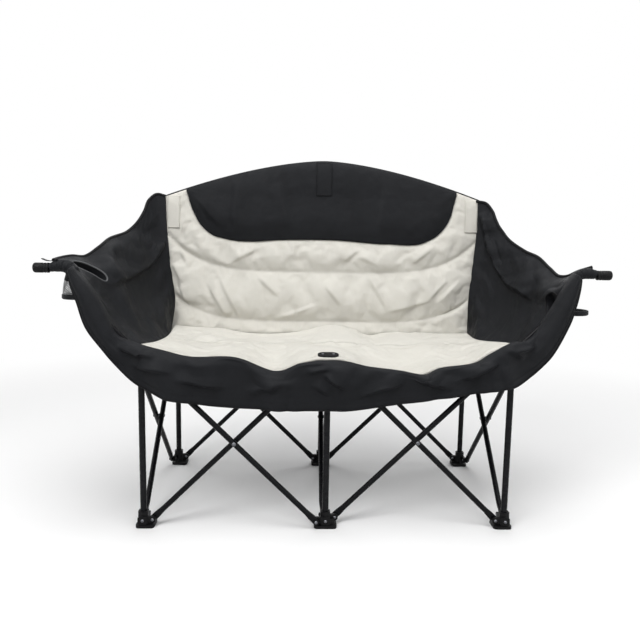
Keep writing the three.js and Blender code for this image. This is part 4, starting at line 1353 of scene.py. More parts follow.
@dataclass
class Back:
    """The padded back with its two sewn channels, the black headrest and the pole pockets."""

    body: str = "rear_center_post"
    columns: int = 201
    rows: int = 111
    bottom_z: float = 0.434
    top_z: float = 0.962
    top_drop: float = 0.112
    top_half: float = 0.488
    top_power: float = 1.6
    rear_y: float = 0.2322
    lean: float = 0.041
    lean_bottom_z: float = 0.430
    lean_top_z: float = 0.852
    seam_thickness: float = 0.010
    full_thickness: float = 0.023
    binding_radius: float = 0.0045
    puff: float = 0.075  # distance from a seam to the full thickness
    left_edge: Line = (
        (0.430, -0.484), (0.474, -0.475), (0.538, -0.466), (0.602, -0.475), (0.749, -0.490), (0.855, -0.493),
    )
    right_edge: Line = (
        (0.430, 0.464), (0.474, 0.460), (0.554, 0.462), (0.656, 0.470), (0.765, 0.480), (0.855, 0.480),
    )
    # The channels' seams: height in the middle, rise at the side, half width and power
    seams: Quads = ((0.476, 0.070, 0.447, 5.0), (0.628, 0.100, 0.470, 5.0))
    # The headrest's sides and lower edge, from left to right: X and height
    headrest: Line = (
        (-0.424, 0.872), (-0.404, 0.812), (-0.378, 0.765), (-0.345, 0.737), (-0.300, 0.724), (-0.100, 0.725),
        (0.018, 0.726), (0.200, 0.716), (0.300, 0.719), (0.350, 0.745), (0.385, 0.790), (0.400, 0.840), (0.408, 0.878),
    )
    # Long folds in the beige cloth: X and height of both ends
    folds: Quads = (
        (-0.319, 0.607, -0.250, 0.471), (-0.350, 0.579, -0.289, 0.476), (-0.205, 0.612, -0.138, 0.552),
        (-0.446, 0.608, -0.408, 0.499), (-0.456, 0.710, -0.385, 0.657), (-0.021, 0.529, -0.149, 0.484),
        (-0.277, 0.659, -0.205, 0.696), (0.001, 0.590, 0.057, 0.524), (0.134, 0.617, 0.195, 0.520),
        (0.193, 0.507, 0.333, 0.546), (0.321, 0.546, 0.380, 0.608), (0.060, 0.664, 0.114, 0.701),
        (0.108, 0.677, 0.170, 0.648), (0.268, 0.655, 0.333, 0.705), (0.444, 0.548, 0.342, 0.491),
        (0.417, 0.609, 0.352, 0.540), (-0.462, 0.645, -0.430, 0.590), (-0.452, 0.575, -0.420, 0.515),
        (-0.440, 0.690, -0.415, 0.640),
    )
    fold_size: Spot = (0.024, 0.0075)  # spread and height
    headrest_folds: Quads = (
        (-0.270, 0.925, -0.275, 0.735), (-0.105, 0.750, -0.150, 0.900), (0.190, 0.900, 0.170, 0.735),
        (-0.390, 0.850, -0.310, 0.760),
    )
    headrest_fold_size: Spot = (0.080, 0.006)
    pocket_height: float = 0.098
    pocket_half: Spot = (0.0138, 0.0112)
    pocket_power: float = 0.55
    # Pole pockets: name, left and right edges on the front, height of the top, and the post's X
    pockets: tuple[tuple[str, float, float, float, float], ...] = (
        ("left", -0.479, -0.441, 0.853, -BAY),
        ("center", -0.027, 0.021, 0.957, 0.0),
        ("right", 0.433, 0.472, 0.853, BAY),
    )

    def top(self, x: Array) -> Array:
        """Height of the top edge."""
        return self.top_z - self.top_drop * np.minimum(1.0, np.abs(x) / self.top_half) ** self.top_power

    def top_at(self, across: Array) -> Array:
        """Height of the top edge at a share across it."""
        left, right = self.left_edge[-1][1], self.right_edge[-1][1]
        return self.top(left + (right - left) * across)

    def edges(self, z: Array) -> tuple[Array, Array]:
        """X of the left and right edges at a height."""
        return through(z, self.left_edge), through(z, self.right_edge)

    def rear(self, z: Array) -> Array:
        """Y of the rear face at a height."""
        share = np.clip((z - self.lean_bottom_z) / (self.lean_top_z - self.lean_bottom_z), 0, 1)
        return self.rear_y - self.lean * (1 - share)

    def spot(self, across: Array, up: Array) -> tuple[Array, Array]:
        """X and height of a place on the back.

        Args:
            across: Shares across it, from 0 to 1.
            up: Shares up.

        Returns:
            X and height.
        """
        z = self.bottom_z + up * (self.top_at(across) - self.bottom_z)
        left, right = self.edges(z)
        return left + (right - left) * across, z

    def shares(self, x: Array, z: Array) -> tuple[Array, Array]:
        """The place on the back that has this X and height.

        Args:
            x: X.
            z: Height.

        Returns:
            Shares across and up.
        """
        left, right = self.edges(z)
        across = (x - left) / (right - left)
        return across, (z - self.bottom_z) / (self.top_at(across) - self.bottom_z)

    def seam_z(self, x: Array, seam: tuple[float, float, float, float]) -> Array:
        """Height of a channel's seam."""
        middle, rise, half, power = seam
        return middle + rise * np.abs(x / half) ** power

    def from_seams(self, x: Array, z: Array) -> Array:
        """Distance to the nearest seam or edge.

        Args:
            x: X.
            z: Height.

        Returns:
            The distances.
        """
        left, right = self.edges(z)
        near = np.minimum.reduce([x - left, right - x, self.top(x) - z, z - self.bottom_z + 0.02])
        for seam in self.seams:
            near = np.minimum(near, np.abs(z - self.seam_z(x, seam)))
        rim = path_through(self.headrest, np.linspace(0, 1, 160))
        gap = np.stack([x, z], axis=-1)[..., None, :] - rim
        return np.maximum(np.minimum(near, np.linalg.norm(gap, axis=-1).min(axis=-1)), 0)

    def surface(self, across: Array, up: Array) -> Array:
        """Points of the front face before it settles.

        Args:
            across: Shares across it, from 0 to 1.
            up: Shares up.

        Returns:
            The points.
        """
        x, z = self.spot(across, up)
        rise = np.clip(self.from_seams(x, z) / self.puff, 0, 1)
        swell = np.sqrt(1 - (1 - rise) ** 2)
        thickness = self.seam_thickness + (self.full_thickness - self.seam_thickness) * swell
        return np.stack([x, self.rear(z) - thickness, z], axis=-1)

    def on_front(self, sheet: Sheet, x: Array, z: Array, lift: float) -> Array:
        """Points at this X and height on the settled front, lifted off it."""
        return sheet.at(*self.shares(x, z), lift)

    def build_pad(self) -> Sheet:
        """Build the pad and return its settled front."""
        coarse = Sheet.drawn(self.rows // 2 + 1, self.columns // 2 + 1, self.surface)
        (across, up), x, z = coarse.shares, coarse.points[..., 0], coarse.points[..., 2]
        # Held at the seams, pockets and edges, and half held behind the headrest
        held = np.clip((0.010 - self.from_seams(x, z)) / 0.006, 0, 1)
        held = np.maximum(held, 0.4 * smoothstep(z - through(x, self.headrest), 0.0, 0.02))
        for _, left, right, top, _ in self.pockets:
            held[(x > left - 0.006) & (x < right + 0.006) & (z > top - self.pocket_height - 0.006)] = 1
        held = np.where((across * up * (1 - across) * (1 - up)) == 0, 1, held)
        how = Settling(spare=0.05, weight=0.15, pressure=1.2, frames=24, limit=0.012, ironed=1)
        sheet = Sheet.drawn(self.rows, self.columns, self.surface).sewn(coarse, held, how)
        x, z = self.spot(*sheet.shares)
        soft = smoothstep(self.from_seams(x, z), 0.0, 0.02)
        folded = sheet.pressed(self.folds, *self.fold_size)
        sheet.points += (folded.points - sheet.points) * soft[..., None]
        rear = np.stack([x, self.rear(z), z], axis=-1)
        hidden = smoothstep(z - through(x, self.headrest), 0.004, 0.014)
        piece = sheet.raised(-0.005 * hidden).between("back_pad", rear, [PALE, BLACK])
        gather(piece, self.body, PALE, "back_panel")
        return sheet

    def build_headrest(self, front: Sheet) -> None:
        """Build the black panel that is sewn over the upper back.

        Args:
            front: The settled front, ironed.
        """
        (left, _), (right, _) = self.headrest[0], self.headrest[-1]

        def panel(across: Array, up: Array) -> Array:
            """Points from the sewn lower edge to the top of the back.

            Args:
                across: Shares across it, from 0 to 1.
                up: Shares up.

            Returns:
                The points.
            """
            low = path_through(self.headrest, across.ravel()).reshape(*across.shape, 2)
            high_x = left + (right - left) * across
            x = low[..., 0] + (high_x - low[..., 0]) * up
            z = low[..., 1] + (self.top(high_x) - low[..., 1]) * up
            return self.on_front(front, x, z, 0.0)

        sheet = Sheet.drawn(41, 201, panel)
        across, up = sheet.shares
        folded = sheet.pressed(self.headrest_folds, *self.headrest_fold_size).points
        sheet.points += (folded - sheet.points) * (smoothstep(up, 0.0, 0.25) * smoothstep(up, 1.0, 0.8))[..., None]
        edge = np.minimum.reduce([across * 8, (1 - across) * 8, up * 3, 1 + 0 * up])
        lift = 0.0022 + 0.003 * smoothstep(edge, 0, 1)
        piece = sheet.raised(lift).between("headrest_panel", sheet.raised(0.0002).points, [BLACK])
        gather(piece, self.body, BLACK)
        rim = path_through(self.headrest, np.linspace(0.02, 0.98, 400))
        sewn = rim + (np.array([(left + right) / 2, self.top_z]) - rim) * [0.015, 0.025]
        stitch("headrest_stitches", [self.on_front(front, *sewn.T, 0.0034)], BLACK_THREAD, self.body)

    def build_seams(self, front: Sheet) -> None:
        """Sew the channels and bind the top edge.

        Args:
            front: The settled front.
        """
        rows = []
        for seam in self.seams:
            x = np.linspace(-seam[2] - 0.004, seam[2], 260)
            z = self.seam_z(x, seam)
            inside = (x > self.edges(z)[0] + 0.004) & (x < self.edges(z)[1] - 0.004)
            rows.append(self.on_front(front, x[inside], z[inside], STITCH_LIFT))
        stitch("back_stitches", rows, PALE_THREAD, self.body)
        across = np.linspace(0, 1, 180)
        edge = front.at(across, np.ones_like(across))
        edge[:, 1] = self.rear(edge[:, 2]) - self.seam_thickness / 2
        sizes = {"Radius": self.binding_radius, "Sides": 14}
        binding = CORDS.make("back_top_binding", edge, BLACK_THREAD, edges=chain(len(edge)), **sizes)
        gather(binding, self.body, BLACK)

    def build_pockets(self, front: Sheet) -> None:
        """Build the stitched patches of the pole pockets, and the pockets behind them.

        Args:
            front: The settled front.
        """
        for name, left, right, top, post_x in self.pockets:
            cloth, thread = (BLACK, BLACK_THREAD) if name == "center" else (PALE, PALE_THREAD)
            bottom = top - self.pocket_height
            lift = 0.0062 if name == "center" else 0.0014

            def patch(across: Array, up: Array) -> Array:
                """Points of the patch on the front."""
                x, z = left + (right - left) * across, bottom + (top - bottom) * up
                return self.on_front(front, x, np.minimum(z, self.top(x) - 0.002), lift)

            sheet = Sheet.drawn(33, 15, patch)
            piece = sheet.raised(0.0014).between(f"{name}_pocket_patch", sheet.points, [cloth])
            gather(piece, self.body, cloth)
            inset = np.array([0.08, 0.92, 0.92, 0.08, 0.08]), np.array([0.97, 0.97, 0.03, 0.03, 0.97])
            marks = np.linspace(0, 4, 161)
            loop = [np.interp(marks, range(5), share) for share in inset]
            stitch(f"{name}_pocket_stitches", [sheet.at(*loop, 0.0018)], thread, self.body)
            self.build_pole_pocket(name, post_x, cloth)

    def build_pole_pocket(self, name: str, post_x: float, cloth: Finish) -> None:
        """Build one cloth pocket over a post's top.

        Args:
            name: The pocket's name.
            post_x: X of its post.
            cloth: What it is made of.
        """
        low, high = POST_Z[name] + 0.0029 - 0.096, POST_Z[name] + 0.0029
        middle_y = FRONT_ROW_Y + BAY + 0.0012
        turn = np.linspace(0, 2 * math.pi, 40, endpoint=False)
        rings, flats = [], []
        # Up the outside, over the top and down the inside: share of the size, and height
        outline = [(1.05, low), (1.06, low + 0.004), (1.0, low + 0.012), (0.98, low + 0.045), (1.0, high - 0.012),
                   (0.96, high - 0.004), (0.80, high), (0.30, high + 0.0006), (0.26, high - 0.0012),
                   (0.74, high - 0.0018), (0.86, high - 0.012), (0.86, low)]
        for share, z in outline:
            x, y = (half * share * wave for half, wave in zip(self.pocket_half, rounded(turn, self.pocket_power)))
            rings.append(np.column_stack([post_x + x, middle_y + y, np.full_like(x, z)]))
            flats.append(np.column_stack([turn * 0.0125, np.full_like(x, z), 0 * x]))
        rings = np.array(rings)
        piece = closed(f"{name}_pole_pocket_sewn", rings.reshape(-1, 3), loft(rings, closed_ends=False), cloth)
        store(piece, "cloth", np.concatenate(flats))
        body = f"rear_{name}_post"
        mount(piece, body, cloth, f"{name}_pole_pocket")

    def build(self) -> None:
        """Build the whole back."""
        front = self.build_pad()
        self.build_headrest(front.smoothed(6))
        self.build_seams(front)
        self.build_pockets(front)


@dataclass
class Seat:
    """The padded seat in two leaves that meet at the fold."""

    columns: int = 185
    rows: int = 81
    lip_y: float = -0.016
    fold_y: float = 0.184
    rear_y: float = 0.383
    fold_gap: float = 0.0004
    flat_y: float = 0.26  # depth at which the lip's rise and fall has faded
    pad: float = 0.020
    rim: float = 0.009
    hub_half: float = 0.060
    hub_pad: float = 0.0068
    hub_oval: Spot = (0.05, 0.045)
    hub_z: float = 0.4431
    hub_slope: float = 0.25
    left_edge: Line = ((-0.02, -0.460), (0.06, -0.440), (0.15, -0.434), (0.39, -0.452))
    right_edge: Line = ((-0.02, 0.450), (0.06, 0.438), (0.16, 0.426), (0.39, 0.446))
    # The front lip's line, as X and height
    lip: Line = (
        (-0.478, 0.473), (-0.407, 0.456), (-0.331, 0.439), (-0.227, 0.438), (-0.130, 0.407), (-0.067, 0.430),
        (0.0, 0.4385), (0.045, 0.435), (0.097, 0.419), (0.232, 0.405), (0.270, 0.420), (0.357, 0.435), (0.396, 0.458),
        (0.460, 0.486),
    )
    middle_z: float = 0.446
    # The line where it meets the back
    rear_line: Line = (
        (-0.458, 0.452), (-0.300, 0.450), (-0.238, 0.441), (-0.077, 0.446), (0.020, 0.466), (0.069, 0.463),
        (0.143, 0.438), (0.191, 0.446), (0.265, 0.447), (0.357, 0.443), (0.446, 0.438),
    )

    def from_hub(self, x: Array, depth: Array) -> Array:
        """Distance from the clamp plate, which is 1 on the oval around it."""
        return np.hypot(x / self.hub_oval[0], depth / self.hub_oval[1])

    def surface(self, across: Array, up: Array) -> Array:
        """Points of the seat's top before it settles.

        Args:
            across: Shares across it, from 0 to 1.
            up: Shares up.

        Returns:
            The points.
        """
        depth = self.lip_y + up * (self.rear_y - self.lip_y)
        left, right = through(depth, self.left_edge), through(depth, self.right_edge)
        x = left + (right - left) * across
        front = through(x, self.lip)
        fade = smoothstep(depth, self.lip_y, self.flat_y)
        side = 0.010 * np.abs(2 * across - 1) ** 6
        rear = self.middle_z + (through(x, self.rear_line) - self.middle_z) * smoothstep(depth, 0.12, self.rear_y)
        z = front * (1 - fade) + (rear + side) * fade
        level = smoothstep(self.from_hub(x, depth), 1.0, 0.5)
        return np.stack([x, depth + FRONT_ROW_Y, z + (self.hub_z + self.hub_slope * depth - z) * level], axis=-1)

    def thickness(self, sheet: Sheet) -> Array:
        """The pad's thickness, thin at the rim and over the hub.

        Args:
            sheet: The seat's top.

        Returns:
            The thickness at each point.
        """
        x, depth = sheet.points[..., 0], sheet.points[..., 1] - FRONT_ROW_Y
        left, right = through(depth, self.left_edge), through(depth, self.right_edge)
        rim = np.minimum.reduce([x - left, right - x, depth - self.lip_y, self.rear_y - depth])
        full = self.rim + (self.pad - self.rim) * smoothstep(rim, 0, 0.05)
        clear = np.maximum(smoothstep(np.abs(x), self.hub_half, 0.1), smoothstep(depth, 0.06, 0.11))
        return self.hub_pad + (full - self.hub_pad) * clear

    def build(self) -> None:
        """Build both leaves and their stitches."""
        coarse = Sheet.drawn(self.rows // 2 + 1, self.columns // 2 + 1, self.surface)
        (across, up), x, depth = coarse.shares, coarse.points[..., 0], coarse.points[..., 1] - FRONT_ROW_Y
        # Held at the edges and where the clamp plate presses
        edge = np.minimum.reduce([across, 1 - across, up / 2, (1 - up) / 2])
        held = np.maximum(np.clip((0.012 - edge) / 0.006, 0, 1), smoothstep(self.from_hub(x, depth), 1.0, 0.8))
        sheet = Sheet.drawn(self.rows, self.columns, self.surface)
        thick = self.thickness(sheet)
        settled = sheet.sewn(coarse, held, Settling(spare=0.022, limit=0.007, seed=11))
        under = sheet.points - np.stack([0 * thick, 0 * thick, thick], axis=-1)
        fold = int(round((self.fold_y - self.lip_y) / (self.rear_y - self.lip_y) * (self.rows - 1)))
        for name, part in (("seat_front", slice(0, fold + 1)), ("seat_rear", slice(fold, self.rows))):
            top, low = settled.points[part].copy(), under[part].copy()
            row, way = (-1, -1) if name == "seat_front" else (0, 1)
            for grid in (top, low):
                grid[row, :, 1] = FRONT_ROW_Y + self.fold_y + way * self.fold_gap
            leaf = Sheet(top, settled.flat[part])
            piece = leaf.between(f"{name}_pad", low, [PALE, BLACK])
            gather(piece, name, PALE, name)
        share = np.linspace(0.01, 0.99, 240)
        lines = [settled.at(share, np.full_like(share, place), STITCH_LIFT) for place in (0.03, 0.46)]
        stitch("seat_stitches", lines, PALE_THREAD, "seat_front")


@dataclass
class Apron:
    """The black band that hangs before the lip and wraps the arm tubes."""

    columns: int = 261
    rows: int = 49
    thickness: float = 0.0016
    face_y: float = -0.0365
    clear_y: float = -0.0330  # the cloth stays before this depth where the frame is behind it
    # Pairs of points down the band, from left to right: X and height of the ridge and of the hem
    pairs: Quads = (
        (-0.606, 0.656, -0.616, 0.640), (-0.590, 0.634, -0.608, 0.604), (-0.569, 0.608, -0.597, 0.572),
        (-0.537, 0.551, -0.578, 0.512), (-0.508, 0.494, -0.542, 0.461), (-0.452, 0.470, -0.478, 0.381),
        (-0.400, 0.456, -0.414, 0.348), (-0.331, 0.441, -0.335, 0.329), (-0.227, 0.441, -0.240, 0.318),
        (-0.130, 0.408, -0.135, 0.314), (-0.067, 0.428, -0.070, 0.312), (0.0, 0.4355, 0.0, 0.312),
        (0.045, 0.4335, 0.045, 0.313), (0.097, 0.422, 0.095, 0.318), (0.173, 0.413, 0.165, 0.329),
        (0.237, 0.403, 0.230, 0.337), (0.275, 0.420, 0.285, 0.347), (0.357, 0.433, 0.370, 0.361),
        (0.398, 0.457, 0.425, 0.371), (0.450, 0.485, 0.490, 0.388), (0.502, 0.490, 0.552, 0.441),
        (0.553, 0.560, 0.594, 0.521), (0.580, 0.610, 0.610, 0.574), (0.594, 0.636, 0.617, 0.612),
        (0.606, 0.654, 0.619, 0.640),
    )
    # The band's section from ridge to hem: place along it, share of the way down, and depth behind the face
    section: Path = (
        (0.0, 0.10, 0.0185), (0.07, 0.02, 0.0165), (0.15, 0.0, 0.0115), (0.24, 0.05, 0.0035), (0.34, 0.16, 0.0),
        (0.60, 0.50, -0.0045), (0.85, 0.84, -0.003), (1.0, 1.0, -0.0025),
    )
    hem_lift: float = 0.0011
    hem_radius: float = 0.0017
    roll: float = 0.011  # how far the band swells where it wraps an arm tube
    folded: float = 0.24  # share of its width when the frame is folded
    step_x: Spot = (0.43, 0.54)  # where it steps back to the right arm tube
    arm_x: Spot = (0.462, 0.505)  # where it starts to wrap the arm tubes
    wrap: float = 0.0125  # how much farther its edge reaches behind an arm tube
    # Long folds: X and height of both ends
    folds: Quads = (
        (-0.500, 0.462, -0.425, 0.442), (-0.475, 0.420, -0.381, 0.406), (-0.360, 0.385, -0.250, 0.366),
        (-0.058, 0.402, 0.003, 0.420), (-0.011, 0.404, 0.042, 0.368), (-0.040, 0.378, 0.006, 0.350),
        (0.067, 0.347, 0.182, 0.383), (0.205, 0.394, 0.300, 0.372), (0.318, 0.389, 0.413, 0.435),
        (0.435, 0.470, 0.480, 0.442), (0.455, 0.466, 0.510, 0.470), (-0.200, 0.350, -0.110, 0.380),
    )
    fold_size: Spot = (0.032, 0.015)  # spread and height

    def surface(self, across: Array, up: Array) -> Array:
        """Points of the band before it settles; up runs from the hem to the ridge.

        Args:
            across: Shares across it, from 0 to 1.
            up: Shares up.

        Returns:
            The points.
        """
        pairs = np.asarray(self.pairs)
        marks = np.linspace(0, 1, len(pairs))
        tx, tz, bx, bz = (through(across, list(zip(marks, column))) for column in pairs.T)
        down = 1 - up
        arm = smoothstep(np.abs(tx), *self.arm_x)
        share = through(down, [(mark, value) for mark, value, _ in self.section])
        share += 0.38 * arm * smoothstep(down, 0.08, 0.0)
        depth = through(down, [(mark, value) for mark, _, value in self.section])
        depth += self.wrap * arm * smoothstep(down, 0.16, 0.05)
        x, z = tx + (bx - tx) * share, tz + (bz - tz) * share
        shift = 2 * ARM_PLANE * smoothstep(x, *self.step_x)
        waves = np.sin(across * 61.0 + 2.5 * np.sin(across * 17.0)) * 0.006 + np.sin(across * 29.0 + 1.0) * 0.004
        loose = smoothstep(down, 0.3, 1.0) * smoothstep(0.5 - np.abs(x), 0.0, 0.12)
        swell = self.roll * np.sin(math.pi * share) * smoothstep(np.abs(x), 0.45, 0.54)
        y = FRONT_ROW_Y + self.face_y + depth + shift - loose * np.abs(waves) - swell
        return np.stack([x, y, z], axis=-1)

    def build(self) -> None:
        """Build the band with its hem."""
        coarse = Sheet.drawn(self.rows // 2 + 1, self.columns // 2 + 1, self.surface)
        # Held at the ridge and where it wraps the arm tubes
        up, out = coarse.shares[1], np.abs(coarse.points[..., 0])
        held = np.maximum(smoothstep(up, 0.70, 0.78), smoothstep(out, 0.50, 0.56))
        how = Settling(spare=0.06, weight=0.2, frames=24, limit=0.018, ironed=2, seed=5)
        sheet = Sheet.drawn(self.rows, self.columns, self.surface).sewn(coarse, held, how)
        across, up = sheet.shares
        folded = sheet.pressed(self.folds, *self.fold_size).points
        sheet.points += (folded - sheet.points) * smoothstep(up, 0.85, 0.6)[..., None]
        drawn = self.surface(across, up)[..., 2]
        sheet.points[..., 2] = drawn + (sheet.points[..., 2] - drawn) * (0.25 + 0.75 * smoothstep(up, 0, 0.3))
        x, y = sheet.points[..., 0], sheet.points[..., 1] - FRONT_ROW_Y
        room = self.clear_y + 2 * ARM_PLANE * smoothstep(x, *self.step_x) - y
        pushed = (np.hypot(room, 0.004) - room) / 2 * smoothstep(up, 0.75, 0.6)
        sheet.points[..., 1] -= pushed
        hem = self.hem_lift * smoothstep(0.16 - up, 0.0, 0.02)
        sheet = sheet.raised(hem)
        piece = sheet.shell("front_band", self.thickness, BLACK)
        gather(piece, "hub", BLACK, "front_apron", keep=self.folded)
        share = np.linspace(0.004, 0.996, 500)
        lines = [sheet.at(share, np.full_like(share, place), STITCH_LIFT) for place in (0.03, 0.15)]
        stitch("front_band_stitches", lines, BLACK_THREAD, "hub", keep=self.folded)
        edge = sheet.at(share, np.zeros_like(share))
        sizes = {"Radius": self.hem_radius, "Sides": 8}
        hem_cord = CORDS.make("front_band_hem", edge, BLACK_THREAD, edges=chain(len(edge)), **sizes)
        gather(hem_cord, "hub", BLACK, keep=self.folded)


@dataclass
class Wing:
    """One side of the loveseat: the cloth between the seat, the back and the arm, with its cup holder."""

    side: Side
    top: Path
    front: Path
    bottom: Path
    rear: Path
    folds: Quads
    cup: Spot  # the opening's middle, as shares across and up
    cup_half: Spot  # half of its length and of its width
    cup_turn: float  # its turn on the flat cut, in degrees
    basket: Spot  # X and Z of its floor, on the right-hand side
    collar: float  # share of the basket's depth that is cloth
    trim: Finish
    columns: int = 97
    rows: int = 81
    seam: float = 0.52
    # Where each piece bends as the frame folds, as Y
    front_bend: Spot = (-0.165, -0.045)
    rear_bend: Spot = (0.008, 0.20)
    thickness: float = 0.0018
    belly: float = 0.014  # how far the middle hangs out
    hem_radius: float = 0.0042
    trim_radius: float = 0.0020
    net_radius: float = 0.0007
    net_bulge: float = 0.006
    fold_spread: float = 0.055
    fold_height: float = 0.022
    basket_radius: float = 0.041
    net_columns: int = 60
    net_rows: int = 18

    def surface(self, across: Array, up: Array) -> Array:
        """Points of the wing before it settles; across runs from the back to the arm.

        Args:
            across: Shares across it, from 0 to 1.
            up: Shares up.

        Returns:
            The points.
        """
        rear, front = (path_through(line, up.ravel()).reshape(*up.shape, 3) for line in (self.rear, self.front))
        low, high = (path_through(line, across.ravel()).reshape(*up.shape, 3) for line in (self.bottom, self.top))
        u, v = across[..., None], up[..., None]
        corners = [np.asarray(p) for p in (self.rear[0], self.front[0], self.rear[-1], self.front[-1])]
        patch = rear * (1 - u) + front * u + low * (1 - v) + high * v
        patch -= (corners[0] * (1 - u) + corners[1] * u) * (1 - v) + (corners[2] * (1 - u) + corners[3] * u) * v
        middle = np.sin(math.pi * across) * np.sin(math.pi * up)
        patch[..., 0] += self.side.value * self.belly * middle
        patch[..., 1] += FRONT_ROW_Y
        return patch

    def opening(self, sheet: Sheet) -> Array:
        """Distance from the middle of the cup holder's opening, which is 1 on its rim.

        Args:
            sheet: The cloth.

        Returns:
            The distances.
        """
        x, y = ((share - middle) * size for share, middle, size in zip(sheet.shares, self.cup, sheet.cut))
        cos, sin = math.cos(math.radians(self.cup_turn)), math.sin(math.radians(self.cup_turn))
        return np.hypot((x * cos + y * sin) / self.cup_half[0], (y * cos - x * sin) / self.cup_half[1])

    def rim(self, sheet: Sheet, turn: Array) -> Array:
        """Points around the cup holder's opening, at these angles.

        Args:
            sheet: The cloth.
            turn: The angles.

        Returns:
            The points.
        """
        cos, sin = math.cos(math.radians(self.cup_turn)), math.sin(math.radians(self.cup_turn))
        x, y = self.cup_half[0] * np.cos(turn), self.cup_half[1] * np.sin(turn)
        across, up = (x * cos - y * sin) / sheet.cut[0], (x * sin + y * cos) / sheet.cut[1]
        return sheet.at(self.cup[0] + across, self.cup[1] + up)

    def build_cloth(self) -> Sheet:
        """Build the wing's two pieces and return the settled cloth."""
        coarse = Sheet.drawn(self.rows // 2 + 1, self.columns // 2 + 1, self.surface)
        # Held at the edges and the rim of the cup holder
        across, up = coarse.shares
        edge = np.minimum.reduce([across, 1 - across, up, (1 - up) / 2])
        held = np.maximum(smoothstep(edge, 0.08, 0.01), smoothstep(self.opening(coarse), 1.4, 1.0))
        word, seed = self.side.word, 3 + self.side.value
        how = Settling(spare=0.03, weight=0.12, bending=2.0, frames=20, limit=0.016, ironed=2, seed=seed)
        sheet = Sheet.drawn(self.rows, self.columns, self.surface).sewn(coarse, held, how).refined()
        sheet = sheet.pressed(self.folds, self.fold_spread, self.side.value * self.fold_height)
        across, opening = sheet.shares[0], self.opening(sheet)
        cells = (opening[:-1, :-1] + opening[1:, 1:]) / 2 > 1
        middle = (across[:-1, :-1] + across[1:, 1:]) / 2
        front = sheet.shell(f"{word}_wing_front_cloth", self.thickness, BLACK, cells & (middle > self.seam))
        rear = sheet.shell(f"{word}_wing_rear_cloth", self.thickness, BLACK, middle < self.seam)
        for part, piece, share in (("front", front, 1 - self.seam), ("rear", rear, self.seam)):
            self.hang(piece, part, f"{word}_wing_{part}")
        return sheet

    def hang(self, piece: Piece, part: str, *nodes: str) -> None:
        """Fix a piece's place into its mesh and hide the nodes that it stands for.

        Args:
            piece: The piece.
            part: Not used.
            *nodes: The nodes that it stands for.
        """
        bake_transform(piece)
        if nodes:
            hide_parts(*nodes)

    def build_hems(self, sheet: Sheet) -> None:
        """Bind the free top edge, in two pieces that meet at the seam.

        Args:
            sheet: The settled cloth.
        """
        for part, low, high in (("front", self.seam, 1.0), ("rear", 0.0, self.seam)):
            share = np.linspace(low, high, 70)
            edge = sheet.at(share, np.ones_like(share))
            name = f"{self.side.word}_wing_{part}_hem"
            self.hang(CORDS.make(name, edge, BLACK_THREAD, edges=chain(70), Radius=self.hem_radius, Sides=12), part)

    def build_cup(self, sheet: Sheet) -> None:
        """Build the cup holder's trim, net and floor.

        Args:
            sheet: The settled cloth.
        """
        word = self.side.word
        arm = f"{word}_arm"
        turn = np.linspace(0, 2 * math.pi, 72, endpoint=False)
        rim = self.rim(sheet, turn)
        trim = CORDS.make(f"{word}_cup_trim", rim, self.trim, edges=chain(72, True), Radius=self.trim_radius, Sides=12)
        mount(trim, arm, self.trim)
        middle = np.array([self.side.value * self.basket[0], rim[:, 1].mean(), self.basket[1]])
        from_middle = (rim - rim.mean(axis=0))[:, :2]
        start = np.arctan2(from_middle[0, 1], from_middle[0, 0])
        way = np.sign(np.cross(from_middle[0], from_middle[9]))

        def bag(around: Array, down: Array) -> Array:
            """Points from the rim down to the floor.

            Args:
                around: Shares around it, from 0 to 1.
                down: Shares down.

            Returns:
                The points.
            """
            angle = start + way * 2 * math.pi * around
            floor = middle + self.basket_radius * np.stack([np.cos(angle), np.sin(angle), 0 * angle], axis=-1)
            wall = self.rim(sheet, 2 * math.pi * around) * (1 - down[..., None]) + floor * down[..., None]
            wall[..., 0] += self.side.value * self.net_bulge * np.sin(math.pi * down)
            return wall

        collar = Sheet.drawn(11, 73, lambda around, up: bag(around, self.collar * (1 - up)))
        lining = collar.shell(f"{word}_cup_collar", 0.0010, BLACK)
        mount(lining, arm, BLACK)
        count, rows = self.net_columns, self.net_rows
        places = np.meshgrid(np.arange(count) / count, np.linspace(self.collar, 1, rows))
        number = np.arange(rows * count).reshape(rows, count)
        edges = []
        for r in range(rows - 1):
            for c in range(r % 2, count, 2):
                edges += [(number[r, c], number[r + 1, (c + 1) % count]), (number[r, c], number[r + 1, c - 1])]
        knots = bag(*places).reshape(-1, 3)
        basket = CORDS.make(f"{word}_cup_net", knots, NET, edges=edges, Radius=self.net_radius, Sides=5)
        mount(basket, arm, NET, f"{word}_cup_holder")
        edge = self.basket_radius
        profile = [
            (0.001, -0.0012), (edge - 0.006, -0.0016), (edge, -0.0030), (edge + 0.0022, -0.0005),
            (edge + 0.0018, 0.0085), (edge, 0.0092), (edge - 0.0018, 0.0082), (edge - 0.003, 0.0012), (0.001, 0.0008),
        ]
        points, faces = turned(profile, 48)
        base = closed(f"{word}_cup_floor", points + middle, faces, BLACK)
        store(base, "cloth", points)
        mount(base, arm, BLACK)

    def build(self) -> None:
        """Build the wing, its hems and its cup holder."""
        sheet = self.build_cloth()
        self.build_hems(sheet)
        self.build_cup(sheet)


